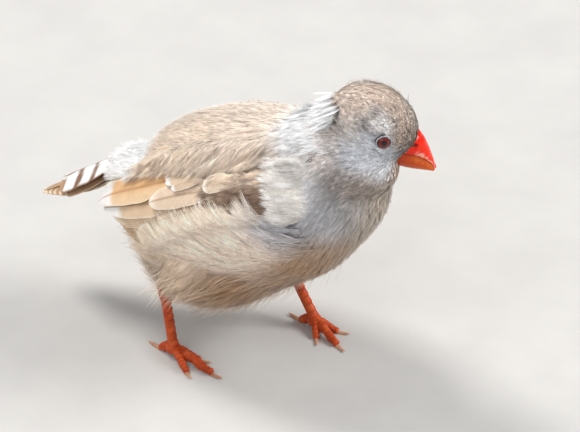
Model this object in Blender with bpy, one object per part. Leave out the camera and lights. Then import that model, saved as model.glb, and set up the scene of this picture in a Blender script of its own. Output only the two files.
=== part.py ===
"""A zebra finch, a pale fawn hen, walking: a still, life-size model.

Frame: +X is the way the body faces, +Y is the bird's left, +Z is up, and the floor is z = 0.
All the sizes below are real millimetres. solid() is the one place that turns them into metres.
The origin of the finished model is on the floor under the middle of its box.
"""

import math

import bmesh
import bpy
import numpy as np

MM = 0.001
TOUCH_GAP = 0.3
RECESS_GAP = TOUCH_GAP + 0.14
SOCKET_GAP = TOUCH_GAP + 0.04
BODY_CLEARANCE = 0.42


def axes(yaw=0.0, pitch=0.0, roll=0.0):
    """Columns are forward, left and up. Yaw turns to the left, pitch dips the nose, in degrees."""
    y, p, r = (math.radians(angle) for angle in (yaw, pitch, roll))
    turn = np.array([[math.cos(y), -math.sin(y), 0], [math.sin(y), math.cos(y), 0], [0, 0, 1]])
    dip = np.array([[math.cos(p), 0, math.sin(p)], [0, 1, 0], [-math.sin(p), 0, math.cos(p)]])
    bank = np.array([[1, 0, 0], [0, math.cos(r), -math.sin(r)], [0, math.sin(r), math.cos(r)]])
    return turn @ dip @ bank


# The body leans up towards the head, and the head is turned to the left and dipped.
BODY_LEAN = -22.0
BODY = axes(pitch=BODY_LEAN)
HEAD_YAW, HEAD_DIP = 40.0, 12.0
HEAD = axes(HEAD_YAW, HEAD_DIP)
HEAD_CENTRE = np.array([24.2, 1.6, 58.9])
SKULL_AT = tuple(HEAD_CENTRE + HEAD @ np.array([-0.3, 0.0, 3.6]))
FACE_AT = tuple(HEAD_CENTRE + HEAD @ np.array([-0.1, 0.0, -1.8]))
CHEEKS_AT = tuple(HEAD_CENTRE + HEAD @ np.array([-1.2, 0.0, -7.3]))

# Feathered outer form, as rounded masses: centre, half sizes along, across and up, and lean.
MASSES = {
    "trunk": ((0.9, 0.0, 36.8), (28.1, 15.9, 14.5), BODY),
    "breast": ((8.8, 0.0, 37.3), (11.6, 14.4, 12.9), BODY),
    "keel": ((3.6, 0.0, 27.3), (12.9, 10.5, 8.2), axes(pitch=-32)),
    "belly": ((-11.1, 0.0, 20.5), (16.3, 13.0, 10.7), axes(pitch=-14)),
    "vent": ((-21.3, 0.0, 25.7), (12.3, 8.0, 7.8), axes(pitch=-8)),
    "mantle": ((-7.2, 0.0, 45.8), (22.9, 11.1, 9.2), axes(pitch=-22.5)),
    "rump": ((-31.0, 0.0, 34.7), (12.5, 7.2, 3.4), axes(pitch=-19)),
    "neck": ((16.4, 0.5, 52.3), (10.6, 9.1, 10.4), axes(pitch=-50)),
    "skull": (SKULL_AT, (9.3, 7.4, 6.7), axes(HEAD_YAW, 34)),
    "face": (FACE_AT, (2.9, 5.0, 5.6), HEAD),
    "cheeks": (CHEEKS_AT, (7.5, 7.8, 4.3), HEAD),
}
MASS_BLEND = 1.4
TORSO_CENTRE = np.array([-2.0, 0.0, 35.0])

# Cuts that part the body into nodes: a point on the plane, and the way it faces (towards the head).
NECK_BASE = (np.array([15.5, 0.3, 48.6]), axes(pitch=-48) @ np.array([1.0, 0.0, 0.0]))
HEAD_BASE = (np.array([20.0, 0.5, 54.2]), axes(12.0, -52.0) @ np.array([1.0, 0.0, 0.0]))
TAIL_AXES = axes(pitch=-30)
TAIL_BASE = (np.array([-36.0, 0.0, 33.0]), TAIL_AXES[:, 0])

# Bill, in the head's own axes: the ridge, the cutting edge and the keel, as forward and up.
RIDGE = ((9.2, 2.1), (10.45, 0.85), (11.9, -1.3), (13.3, -3.7), (14.35, -5.85))
EDGE = ((6.1, -1.6), (7.8, -1.95), (9.5, -2.45), (11.0, -3.1), (12.8, -4.35), (14.25, -6.1))
KEEL = ((6.4, -6.0), (7.8, -6.3), (9.2, -6.5), (11.0, -6.6), (12.7, -6.65), (14.15, -6.75))
BILL_HALF_WIDTH = 3.2
BILL_ROOT = 4.3
BILL_SEAM = TOUCH_GAP / 2 + 0.02
BILL_END = 0.985
NOSTRIL = (7.9, 2.3, 0.0)
NOSTRIL_SIZE = (0.55, 0.7, 0.42)

# Eyes, in the head's own axes.
EYE_PLACE = (0.4, 7.6, 2.7)
EYE_RADIUS = 1.9
EYE_SINK = 1.35
LID_RADIUS, LID_THICKNESS = 1.8, 0.4

# Wing: feathers lie on a rounded form round the body's own axis. "along" is forward from its
# middle, "round" is the arc down from the back's middle line.
WING_CENTRE = np.array([-3.0, 0.0, 35.4])
WING_AXES = axes(pitch=-24)
WING_FRONT_LENGTH, WING_BACK_LENGTH, WING_RADIUS = 42.0, 38.0, 16.9
BLADE_THICKNESS = 0.55

# Legs: ankle and foot joints, and the toes' tips on the floor.
RIGHT_ANKLE, RIGHT_FOOT = np.array([-16.2, -14.1, 17.6]), np.array([-15.2, -12.3, 2.3])
LEFT_ANKLE, LEFT_FOOT = np.array([-4.4, 13.6, 14.3]), np.array([4.1, 12.1, 2.3])
RIGHT_KNEE, LEFT_KNEE = np.array([-9.0, -12.3, 27.0]), np.array([3.0, 11.0, 26.5])
RIGHT_TOES = {
    "hind": (-22.6, -10.9), "inner": (-6.4, -10.9), "middle": (-1.4, -14.8), "outer": (-6.9, -18.2),
}
LEFT_TOES = {
    "hind": (-3.5, 13.5), "inner": (8.4, 6.0), "middle": (14.6, 7.1), "outer": (12.0, 13.4),
}
CLAW_LENGTH = {"hind": 3.6, "inner": 2.6, "middle": 3.0, "outer": 2.6}
TOE_RADIUS = {"hind": 1.05, "inner": 0.85, "middle": 0.95, "outer": 0.85}
SHANK_RADIUS = 1.05
THIGH_SHARES = (0.0, 0.15, 0.35, 0.55, 0.75, 0.9, 1.0)
THIGH_RADII = (2.6, 4.0, 4.6, 4.2, 3.2, 2.2, 1.55)

COLOURS = {
    "buff": (0.78, 0.68, 0.56, 1, 0.85),
    "cream": (0.86, 0.80, 0.72, 1, 0.85),
    "grey_fawn": (0.66, 0.58, 0.52, 1, 0.85),
    "fawn_blade": (0.72, 0.55, 0.38, 1, 0.7),
    "barred": (0.60, 0.44, 0.32, 1, 0.75),
    "bill": (0.90, 0.16, 0.05, 1, 0.3),
    "bill_below": (0.92, 0.30, 0.06, 1, 0.3),
    "leg": (0.75, 0.22, 0.10, 1, 0.5),
    "claw": (0.85, 0.48, 0.28, 1, 0.4),
    "eye": (0.25, 0.03, 0.03, 1, 0.08),
}


def clear_scene():
    for obj in list(bpy.data.objects):
        bpy.data.objects.remove(obj, do_unlink=True)


def material(name):
    found = bpy.data.materials.get(name)
    if found:
        return found
    *colour, roughness = COLOURS[name]
    made = bpy.data.materials.new(name)
    made.use_nodes = True
    shader = made.node_tree.nodes["Principled BSDF"]
    shader.inputs["Base Color"].default_value = colour
    shader.inputs["Roughness"].default_value = roughness
    shader.inputs["Metallic"].default_value = 0.0
    return made


def solid(name, points, faces):
    """A mesh object from millimetre points, with its faces turned outwards."""
    mesh = bpy.data.meshes.new(name)
    mesh.from_pydata([tuple(float(c) * MM for c in p) for p in points], [], [tuple(f) for f in faces])
    work = bmesh.new()
    work.from_mesh(mesh)
    bmesh.ops.recalc_face_normals(work, faces=work.faces)
    work.to_mesh(mesh)
    work.free()
    obj = bpy.data.objects.new(name, mesh)
    bpy.context.scene.collection.objects.link(obj)
    return obj


def unit(vector):
    vector = np.asarray(vector, float)
    return vector / np.linalg.norm(vector, axis=-1, keepdims=True)


def ease(t):
    return t * t * (3 - 2 * t)


def field(points):
    """Signed distance, roughly in millimetres, to the blended masses of the body."""
    points = np.atleast_2d(points)
    distances = []
    for centre, radii, turn in MASSES.values():
        local = (points - np.array(centre)) @ turn
        near = np.linalg.norm(local / radii, axis=1)
        steep = np.linalg.norm(local / np.square(radii), axis=1) + 1e-9
        distances.append(near * (near - 1) / steep)
    distances = np.array(distances)
    least = distances.min(0)
    return least - MASS_BLEND * np.log(np.exp(-(distances - least) / MASS_BLEND).sum(0))


def surface_along(starts, ways, level=0.0, reach=45.0, steps=90):
    """The first place along each ray, going out from inside the body, where the field passes level."""
    starts = np.broadcast_to(starts, ways.shape).astype(float)
    low = np.zeros(len(ways))
    high = np.full(len(ways), reach)
    found = np.zeros(len(ways), bool)
    for step in range(1, steps + 1):
        far = reach * step / steps
        out = (field(starts + far * ways) > level) & ~found
        high[out] = far
        low[out] = reach * (step - 1) / steps
        found |= out
    for _ in range(22):
        middle = (low + high) / 2
        out = field(starts + middle[:, None] * ways) > level
        high = np.where(out, middle, high)
        low = np.where(out, low, middle)
    return starts + high[:, None] * ways


def ring_faces(rings, count, closed_ends=True):
    """Triangles between rings of count points, with the first and last ring filled as fans."""
    faces = []
    for ring in range(rings - 1):
        for i in range(count):
            a, b = ring * count + i, ring * count + (i + 1) % count
            faces += [(a, b, b + count), (a, b + count, a + count)]
    if closed_ends:
        last = (rings - 1) * count
        faces.append(tuple(range(count))[::-1])
        faces.append(tuple(range(last, last + count)))
    return faces


def star_form(name, centre, turn, rings, around, level=0.0):
    """The body's surface as seen from one inner point, as a globe of rings and two poles."""
    ways = [turn @ np.array([1.0, 0.0, 0.0])]
    for ring in range(1, rings):
        lean = math.pi * ring / rings
        for i in range(around):
            angle = 2 * math.pi * i / around
            round_ = np.array([0.0, math.cos(angle), math.sin(angle)])
            ways.append(turn @ (math.cos(lean) * np.array([1.0, 0.0, 0.0]) + math.sin(lean) * round_))
    ways.append(turn @ np.array([-1.0, 0.0, 0.0]))
    points = surface_along(centre, np.array(ways), level)
    faces = [(0, 1 + i, 1 + (i + 1) % around) for i in range(around)]
    faces += [tuple(1 + v for v in face) for face in ring_faces(rings - 1, around, closed_ends=False)]
    pole, last = len(ways) - 1, 1 + (rings - 2) * around
    faces += [(pole, last + (i + 1) % around, last + i) for i in range(around)]
    return solid(name, points, faces)


def tube(name, centres, radii, sides=10):
    """A closed tube through centres in mm, with a radius at each."""
    centres = np.array(centres, float)
    ways = np.gradient(centres, axis=0)
    points = []
    side = None
    for centre, way, radius in zip(centres, unit(ways), radii):
        guide = side if side is not None else np.array([0.0, 1.0, 0.0])
        side = unit(guide - way * (guide @ way))
        up = np.cross(way, side)
        for i in range(sides):
            angle = 2 * math.pi * i / sides
            points.append(centre + radius * (math.cos(angle) * side + math.sin(angle) * up))
    return solid(name, points, ring_faces(len(centres), sides))


def ball(name, centre, radii, turn=None, segments=16, rings=10):
    work = bmesh.new()
    bmesh.ops.create_uvsphere(work, u_segments=segments, v_segments=rings, radius=1.0)
    points = np.array([tuple(v.co) for v in work.verts]) * np.array(radii)
    faces = [[v.index for v in f.verts] for f in work.faces]
    work.free()
    turn = np.eye(3) if turn is None else turn
    return solid(name, points @ turn.T + np.array(centre), faces)


def bake(obj):
    """Puts the modifiers into the mesh."""
    graph = bpy.context.evaluated_depsgraph_get()
    mesh = bpy.data.meshes.new_from_object(obj.evaluated_get(graph), depsgraph=graph)
    obj.modifiers.clear()
    obj.data = mesh


def keep_largest(obj):
    """Leaves only the largest closed surface of the object."""
    work = bmesh.new()
    work.from_mesh(obj.data)
    work.faces.ensure_lookup_table()
    unseen = set(work.faces)
    groups = []
    while unseen:
        stack = [unseen.pop()]
        group = []
        while stack:
            face = stack.pop()
            group.append(face)
            near = {other for edge in face.edges for other in edge.link_faces} & unseen
            unseen -= near
            stack.extend(near)
        groups.append(group)
    groups.sort(key=lambda group: sum(face.calc_area() for face in group))
    scraps = [face for group in groups[:-1] for face in group]
    bmesh.ops.delete(work, geom=scraps, context="FACES")
    bmesh.ops.triangulate(work, faces=work.faces)
    work.to_mesh(obj.data)
    work.free()


def boolean(obj, others, operation, solver="EXACT"):
    """One Boolean of obj with a collection of closed meshes, which are removed."""
    group = bpy.data.collections.new(obj.name + "_pieces")
    bpy.context.scene.collection.children.link(group)
    for other in others:
        bpy.context.scene.collection.objects.unlink(other)
        group.objects.link(other)
    modifier = obj.modifiers.new(operation.lower(), "BOOLEAN")
    modifier.operation = operation
    modifier.operand_type = "COLLECTION"
    modifier.collection = group
    modifier.solver = solver
    bake(obj)
    for other in others:
        bpy.data.objects.remove(other, do_unlink=True)
    bpy.data.collections.remove(group)
    keep_largest(obj)
    return obj


def cut(obj, point, way, shift=0.0):
    """Removes what lies on the side that way points to, past the plane, and closes the hole flat."""
    work = bmesh.new()
    work.from_mesh(obj.data)
    place = (np.array(point) + np.array(way) * shift) * MM
    geometry = work.verts[:] + work.edges[:] + work.faces[:]
    bmesh.ops.bisect_plane(work, geom=geometry, dist=1e-7, plane_co=place, plane_no=way, clear_outer=True)
    rim = [edge for edge in work.edges if edge.is_boundary]
    bmesh.ops.holes_fill(work, edges=rim, sides=0)
    bmesh.ops.recalc_face_normals(work, faces=work.faces)
    bmesh.ops.triangulate(work, faces=work.faces)
    work.to_mesh(obj.data)
    work.free()
    return obj


def head_point(forward, left, up):
    return HEAD_CENTRE + HEAD @ np.array([forward, left, up])


def on_line(line, t):
    """A point at share t along a line of points in the head's middle plane."""
    line = np.array(line)
    lengths = np.r_[0.0, np.cumsum(np.linalg.norm(np.diff(line, axis=0), axis=1))]
    return np.array([np.interp(t * lengths[-1], lengths, line[:, k]) for k in (0, 1)])


def bill_arc(t, half, sides, grow=0.0, root=None):
    """One mandible's cross-section from its left cutting edge over to its right, at share t.

    A root puts the whole section at that distance forward of the head's centre.
    """
    up = 1.0 if half == "upper" else -1.0
    outer = on_line(RIDGE if half == "upper" else KEEL, t)
    along = on_line(EDGE, min(t + 0.02, 1.0)) - on_line(EDGE, t - 0.02)
    aside = np.array([-along[1], along[0]]) / np.linalg.norm(along)
    base = on_line(EDGE, t) + up * aside * BILL_SEAM
    reach = outer - base
    tall = np.linalg.norm(reach)
    reach = reach / tall * max(tall + grow, 0.42)
    width = (BILL_HALF_WIDTH if half == "upper" else BILL_HALF_WIDTH * 0.9) * (1 - t) ** 0.75 + 0.32 + grow
    arc = []
    for i in range(sides + 1):
        angle = math.pi * i / sides
        place = base + reach * math.sin(angle) ** 0.85
        arc.append(head_point(place[0] if root is None else root, width * math.cos(angle), place[1]))
    return arc


def mandible(name, half, sides=8, stations=8):
    """One mandible, with its root sunk into the head."""
    rings = [bill_arc(0.0, half, sides, root=BILL_ROOT)]
    rings += [bill_arc(BILL_END * i / (stations - 1), half, sides) for i in range(stations)]
    return solid(name, [p for ring in rings for p in ring], ring_faces(len(rings), sides + 1))


def bill_recess(sides=8, stations=8):
    """The cutter for the head's recess, a gap larger all round than both mandibles."""
    rings = []
    steps = [(0.0, BILL_ROOT - RECESS_GAP + 0.08)]
    steps += [(BILL_END * i / (stations - 1), None) for i in range(5)]
    for t, root in steps:
        upper = bill_arc(t, "upper", sides, RECESS_GAP, root)
        lower = bill_arc(t, "lower", sides, RECESS_GAP, root)
        rings.append(upper + lower[::-1])
    return solid("recess", [p for ring in rings for p in ring], ring_faces(len(rings), 2 * (sides + 1)))


def eye_frame(side):
    """The eye's place on the head, and the way it looks. side is 1 on the left, -1 on the right."""
    forward, left, up = EYE_PLACE
    inner = head_point(forward - 0.5, 0.0, up - 0.6)
    way = unit(head_point(forward, side * left, up) - inner)
    place = surface_along(inner, way[None, :])[0]
    return place, way


def lid_ring(name, place, way, around=18, sides=6):
    """The raised rim of the eyelids, as a ring on the head's surface."""
    across = unit(np.cross(way, [0.0, 0.0, 1.0]))
    up = np.cross(across, way)
    points = []
    for i in range(around):
        angle = 2 * math.pi * i / around
        out = math.cos(angle) * across + math.sin(angle) * 0.9 * up
        middle = place + out * LID_RADIUS + way * 0.02
        middle = surface_along(middle - way * 4, way[None, :])[0]
        for j in range(sides):
            turn = 2 * math.pi * j / sides
            points.append(middle + LID_THICKNESS * (math.cos(turn) * out + math.sin(turn) * way))
    faces = []
    for i in range(around):
        for j in range(sides):
            a, b = i * sides + j, i * sides + (j + 1) % sides
            c, d = ((i + 1) % around) * sides + (j + 1) % sides, ((i + 1) % around) * sides + j
            faces.append((a, b, c, d))
    return solid(name, points, faces)


def make_head():
    """Head with its lids raised, sockets for the eyes and a recess for the bill."""
    head = star_form("head", HEAD_CENTRE, HEAD, rings=20, around=28)
    cut(head, HEAD_BASE[0], -HEAD_BASE[1], -TOUCH_GAP / 2)
    lids, sockets = [], []
    for side, word in ((1, "left"), (-1, "right")):
        place, way = eye_frame(side)
        lids.append(lid_ring("lids_" + word, place, way))
        centre = place - way * EYE_SINK
        eye = ball("eye_" + word, centre, [EYE_RADIUS] * 3, segments=16, rings=10)
        eye.data.materials.append(material("eye"))
        sockets.append(ball("socket", centre, [EYE_RADIUS + SOCKET_GAP] * 3, segments=16, rings=10))
    boolean(head, lids, "UNION")
    boolean(head, sockets + [bill_recess()], "DIFFERENCE")
    head.data.materials.append(material("grey_fawn"))


def make_bill():
    upper = mandible("bill_upper", "upper")
    nostrils = []
    for side in (1, -1):
        forward, left, up = NOSTRIL
        nostrils.append(ball("nostril", head_point(forward, side * left, up), NOSTRIL_SIZE, HEAD, 10, 6))
    boolean(upper, nostrils, "DIFFERENCE")
    upper.data.materials.append(material("bill"))
    lower = mandible("bill_lower", "lower")
    lower.data.materials.append(material("bill_below"))


def make_neck(rings=5, around=30):
    """The neck between its two cuts, as rings that fan from one cut's plane to the other's."""
    points = []
    for ring in range(rings):
        t = ring / (rings - 1)
        start = NECK_BASE[0] + NECK_BASE[1] * TOUCH_GAP / 2
        end = HEAD_BASE[0] - HEAD_BASE[1] * TOUCH_GAP / 2
        centre = start + (end - start) * t
        way = unit(NECK_BASE[1] * (1 - t) + HEAD_BASE[1] * t)
        side = unit(np.array([0.0, 1.0, 0.0]) - way * way[1])
        up = np.cross(way, side)
        angles = 2 * math.pi * np.arange(around) / around
        ways = np.cos(angles)[:, None] * side + np.sin(angles)[:, None] * up
        points.extend(surface_along(centre, ways))
    neck = solid("neck", points, ring_faces(rings, around))
    neck.data.materials.append(material("cream"))


def make_torso():
    torso = star_form("torso", TORSO_CENTRE, BODY, rings=30, around=32)
    cut(torso, NECK_BASE[0], NECK_BASE[1], -TOUCH_GAP / 2)
    cut(torso, TAIL_BASE[0], -TAIL_BASE[1], -TOUCH_GAP / 2)
    torso.data.materials.append(material("cream"))


def wing_place(along, round_, height, side):
    """A point of the wing in mm: along the body, round it from the back's middle line, and above it."""
    along, round_, height = (np.asarray(v, float) for v in (along, round_, height))
    half_length = np.where(along > 0, WING_FRONT_LENGTH, WING_BACK_LENGTH)
    share = np.sqrt(np.clip(1 - np.square(along / half_length), 0.08, 1))
    angle = round_ / WING_RADIUS
    forward, left, up = WING_AXES.T
    out = np.sin(angle)[..., None] * side * left + np.cos(angle)[..., None] * up
    place = WING_CENTRE + along[..., None] * forward + (WING_RADIUS * share)[..., None] * out
    normal = unit(out + (along / half_length**2 * WING_RADIUS / share)[..., None] * forward)
    place = place + height[..., None] * normal
    flat = place.reshape(-1, 3)
    short = np.clip(BODY_CLEARANCE + height.reshape(-1) - field(flat), 0, None)
    return (flat + short[:, None] * normal.reshape(-1, 3)).reshape(place.shape)


def blade(name, place, root, tip, width, lift=(0.0, 0.0), tilt=0.3, bow=0.0, stations=6, blunt=0.35):
    """One feather's blade: two like faces, 0.55 mm apart, mapped onto a form by place(along, round, height).

    lift is its height above the form at the root and at the tip, tilt raises one edge over the
    next feather, bow bends its line sideways, and blunt is the share of its length that rounds off.
    """
    root, tip = np.array(root, float), np.array(tip, float)
    way = tip - root
    length = np.linalg.norm(way)
    way = way / length
    across = np.array([-way[1], way[0]])
    rows = []
    for i in range(stations):
        s = 1 - (1 - i / (stations - 1)) ** 1.4
        grow = 0.45 + 0.55 * ease(min(s / 0.5, 1.0))
        end = max((s - (1 - blunt)) / blunt, 0.0)
        half = width / 2 * grow * math.sqrt(max(1 - (0.97 * end) ** 2.2, 0.02))
        middle = root + way * length * s + across * bow * 4 * s * (1 - s)
        level = lift[0] + (lift[1] - lift[0]) * s
        for hand, up in ((1, 1), (-1, 1), (-1, -1), (1, -1)):
            edge = middle + across * half * hand
            slant = tilt * hand * half / (width / 2)
            rows.append((edge[0], edge[1], level + slant + up * BLADE_THICKNESS / 2))
    rows = np.array(rows)
    points = place(rows[:, 0], rows[:, 1], rows[:, 2])
    faces = []
    for i in range(stations - 1):
        for j in range(4):
            a, b = i * 4 + j, i * 4 + (j + 1) % 4
            c, d = b + 4, a + 4
            faces += [(a, b, c), (a, c, d)] if j in (0, 3) else [(a, b, d), (b, c, d)]
    last = (stations - 1) * 4
    faces += [(0, 1, 2, 3), (last, last + 1, last + 2, last + 3)]
    return solid(name, points, faces)


def wing_core(name, place, sides=12, rings=8):
    """The hand and forearm under the feathers: a thin lens from the shoulder to past the elbow."""
    front, back = 18.5, -12.0
    points = []
    for ring in range(rings):
        t = (ring + 0.35) / (rings - 0.3)
        along = front + (back - front) * t
        swell = math.sin(math.pi * min(max(t, 0.04), 0.96)) ** 0.55
        middle = 18.6 - 1.0 * t
        for i in range(sides):
            angle = 2 * math.pi * i / sides
            round_ = middle + 4.6 * swell * math.cos(angle)
            height = 0.85 + 0.85 * swell * math.sin(angle)
            points.append((along, round_, height))
    points = np.array(points)
    return solid(name, place(points[:, 0], points[:, 1], points[:, 2]), ring_faces(rings, sides))


def spread(count):
    return [i / (count - 1) for i in range(count)]


def lerp(a, b, t):
    return tuple(np.array(a, float) * (1 - t) + np.array(b, float) * t)


def make_wing(word, side):
    """A folded wing: a core with flight feathers and three tiers of coverts, each a row of blades."""

    def place(along, round_, height):
        return wing_place(along, round_, height, side)

    rows = (
        # name, count, roots from and to, tips from and to, width, height at root and tip, bow
        ("primary", 6, (4.0, 21.0), (2.0, 17.5), (-19.6, 28.3), (-24.5, 20.5), 4.2, (0.3, 0.3), 0.9),
        ("secondary", 4, (3.0, 19.5), (-1.0, 16.0), (-24.5, 21.5), (-28.0, 18.5), 5.0, (0.8, 0.7), 0.7),
        ("tertial", 3, (1.0, 17.5), (-2.0, 14.0), (-31.5, 17.4), (-27.0, 13.2), 5.8, (1.1, 1.2), 0.4),
        ("greater", 5, (8.5, 21.5), (1.5, 14.8), (-9.5, 25.0), (-12.8, 16.4), 5.0, (1.0, 1.8), 0.5),
        ("median", 4, (14.0, 21.0), (6.5, 14.8), (0.5, 23.0), (-3.0, 15.6), 4.8, (1.2, 2.1), 0.3),
        ("lesser", 4, (17.0, 20.0), (11.0, 14.8), (8.0, 22.0), (4.0, 15.0), 4.4, (1.2, 2.3), 0.2),
    )
    pieces = []
    for row, count, root_a, root_b, tip_a, tip_b, width, lift, bow in rows:
        for t in spread(count):
            root, tip = lerp(root_a, root_b, t), lerp(tip_a, tip_b, t)
            raised = (lift[0] + 0.12 * t, lift[1] + 0.25 * t)
            stations = 6 if row in ("primary", "secondary", "tertial") else 5
            name = f"{row}_{t:.2f}_{word}"
            pieces.append(blade(name, place, root, tip, width, raised, -0.3, bow, stations))
    wing = wing_core("wing_" + word, place)
    boolean(wing, pieces, "UNION")
    wing.data.materials.append(material("fawn_blade"))


TAIL_ROOT = TAIL_BASE[0]


def tail_place(along, round_, height):
    """A point of the tail: along is back from its root, round_ is to the left, height is up."""
    along, round_, height = (np.asarray(v, float) for v in (along, round_, height))
    forward, left, up = TAIL_AXES.T
    sag = 0.0015 * np.square(along)
    arch = 0.04 * np.square(round_)
    across = round_[..., None] * left + (height - sag - arch)[..., None] * up
    return TAIL_ROOT - along[..., None] * forward + across


def make_tail():
    """The tail: a root lobe with ten tail feathers, barred coverts in two tiers above and a tier below."""
    around = 14
    angles = 2 * math.pi * np.arange(around) / around
    _, left, up = TAIL_AXES.T
    ways = np.cos(angles)[:, None] * left + np.sin(angles)[:, None] * up
    arms = surface_along(TAIL_ROOT, ways) - TAIL_ROOT
    back_way = -TAIL_BASE[1]
    lobe = ((TOUCH_GAP / 2, 0.95), (3.0, 0.80), (6.5, 0.56), (10.0, 0.31), (12.0, 0.14))
    points = [TAIL_ROOT + back_way * back + arm * share for back, share in lobe for arm in arms]
    tail = solid("tail", points, ring_faces(len(lobe), around))
    pieces = []
    for i, t in enumerate(spread(10)):
        hand = 2 * t - 1
        level = -0.6 + 0.5 * (1 - abs(hand))
        end = 23.2 - 9.5 * abs(hand) ** 1.3
        pieces.append(blade(f"rectrix_{i}", tail_place, (1.5, hand * 2.2), (end, hand * 3.8), 3.4,
                            (level, level), tilt=-0.3 * np.sign(hand), blunt=0.28))
    for tier, (count, reach, lift) in enumerate(((5, 17.5, 0.75), (4, 11.0, 1.5))):
        for i, t in enumerate(spread(count)):
            hand = 2 * t - 1
            level = lift - 0.35 * abs(hand)
            tip = (reach - 4.0 * abs(hand), hand * 3.4)
            pieces.append(blade(f"upper_covert_{tier}_{i}", tail_place, (1.0, hand * 2.0), tip, 4.4,
                                (level + 0.7, level - 0.3), tilt=-0.3 * np.sign(hand), stations=5))
    for i, t in enumerate(spread(4)):
        hand = 2 * t - 1
        tip = (11.5 - 2.0 * abs(hand), hand * 2.6)
        pieces.append(blade(f"under_covert_{i}", tail_place, (1.0, hand * 1.6), tip, 4.4, (-2.4, -1.5),
                            tilt=0.2 * np.sign(hand), stations=5))
    boolean(tail, pieces, "UNION")
    tail.data.materials.append(material("barred"))


def make_thigh(word, knee, ankle):
    """The feathered upper leg: a drumstick fitted to the body's surface, down to just above the ankle."""
    way = unit(ankle - knee)
    end = ankle - way * 1.9
    start = knee - way * 2.0
    thigh = tube("thigh_" + word, [start + (end - start) * s for s in THIGH_SHARES], THIGH_RADII, sides=16)
    body = star_form("body", TORSO_CENTRE, BODY, rings=36, around=40, level=BODY_CLEARANCE)
    boolean(thigh, [body], "DIFFERENCE")
    thigh.data.materials.append(material("cream"))
    return end, way


def toe_path(start, tip, arch, radius, steps=8):
    """A toe's middle line: up from the foot joint, arched, and down onto the floor at its tip."""
    floor = np.array([tip[0], tip[1], radius - 0.12])
    path = []
    for i in range(steps):
        t = i / (steps - 1)
        point = start * (1 - t) + floor * t
        fall = (1 - t) ** 1.6
        point[2] = start[2] * fall + floor[2] * (1 - fall) + arch * math.sin(math.pi * t) * (1 - t)
        path.append(point)
    return path


def toe_radii(radius, steps=8, joints=3):
    """Toe thickness, with a pad at each joint."""
    radii = []
    for i in range(steps):
        t = i / (steps - 1)
        pad = 1 + 0.12 * math.cos(2 * math.pi * joints * t)
        radii.append(radius * pad * (1.12 - 0.3 * t))
    return radii


def make_claw(name, start, way, length, radius):
    """A claw: a tapered horn that curves down from the toe's end to just above the floor."""
    steps = 7
    path, radii = [], []
    for i in range(steps):
        t = i / (steps - 1)
        point = start + way * length * t
        point[2] = start[2] + 1.3 * t**2 * (1 - t) + (0.42 - start[2]) * t**2.4
        path.append(point)
        radii.append(radius * (1 - t) ** 0.7 + 0.13)
    path.insert(1, path[0] + way * 0.12)
    radii.insert(1, radii[0])
    claw = tube(name, path, radii, sides=8)
    claw.data.materials.append(material("claw"))


def make_leg(word, knee, ankle, foot, toes):
    """Thigh, shank, foot and four claws, each placed from the one it grows from."""
    thigh_end, thigh_way = make_thigh(word, knee, ankle)
    shank_way = unit(foot - ankle)
    shank_end = ankle + (foot - ankle) * 0.84
    top = thigh_end + thigh_way * TOUCH_GAP
    upper = [top, top + thigh_way * 0.4, ankle - thigh_way * 0.4, ankle + thigh_way * 0.3]
    shank = tube("shank_" + word, upper, [1.2, 1.25, 1.3, 1.1], sides=12)
    path = [ankle - shank_way * 0.4] + [ankle + (foot - ankle) * t for t in (0.1, 0.25, 0.5, 0.7)]
    path += [shank_end - shank_way * 0.4, shank_end]
    radii = [1.1, 1.3] + [SHANK_RADIUS * share for share in (1.0, 0.95, 1.0, 1.1, 1.1)]
    lower = tube("lower_shank", path, radii, sides=12)
    boolean(shank, [lower, ball("ankle", ankle, (1.45, 1.3, 1.45), segments=12, rings=8)], "UNION")
    shank.data.materials.append(material("leg"))
    pieces = []
    for toe, tip in toes.items():
        tip = np.array([tip[0], tip[1], 0.0])
        run = tip - foot
        run[2] = 0.0
        way = unit(run)
        end = tip - way * (CLAW_LENGTH[toe] + TOUCH_GAP + 0.35)
        radius = TOE_RADIUS[toe]
        start = foot + way * 0.2 - np.array([0.0, 0.0, 0.5])
        path = toe_path(start, end, 1.1, radius * 0.85)
        path.append(path[-1] + way * 0.5)
        radii = toe_radii(radius)
        pieces.append(tube(f"toe_{toe}_{word}", path, radii + [radii[-1]], sides=8))
        claw_start = path[-1] + way * TOUCH_GAP
        make_claw(f"claw_{toe}_{word}", claw_start, way, CLAW_LENGTH[toe] - 0.15, radius * 0.45)
    joint = foot - np.array([0.0, 0.0, 0.45])
    pieces.append(ball("joint_" + word, joint, (1.75, 1.6, 1.45), segments=12, rings=8))
    heel = shank_end + shank_way * TOUCH_GAP
    base = tube("foot_" + word, [heel, heel + shank_way * 0.4, foot - np.array([0.0, 0.0, 0.2])],
                [SHANK_RADIUS * 1.1, SHANK_RADIUS * 1.1, 1.3], sides=12)
    boolean(base, pieces, "UNION")
    cut(base, (0.0, 0.0, 0.0), (0.0, 0.0, -1.0))
    keep_largest(base)
    base.data.materials.append(material("leg"))


def shade(obj):
    """Smooth faces, with the sharp edges of blades and cuts kept."""
    obj.data.shade_smooth()
    obj.data.set_sharp_from_angle(angle=math.radians(50))


def centre_on_floor():
    """Moves every mesh so that the origin is on the floor under the middle of the whole box."""
    corners = np.array([tuple(v.co) for obj in bpy.data.objects for v in obj.data.vertices])
    low, high = corners.min(0), corners.max(0)
    shift = np.array([-(low[0] + high[0]) / 2, -(low[1] + high[1]) / 2, -low[2]])
    for obj in bpy.data.objects:
        for vertex in obj.data.vertices:
            vertex.co.x += shift[0]
            vertex.co.y += shift[1]
            vertex.co.z += shift[2]


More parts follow.
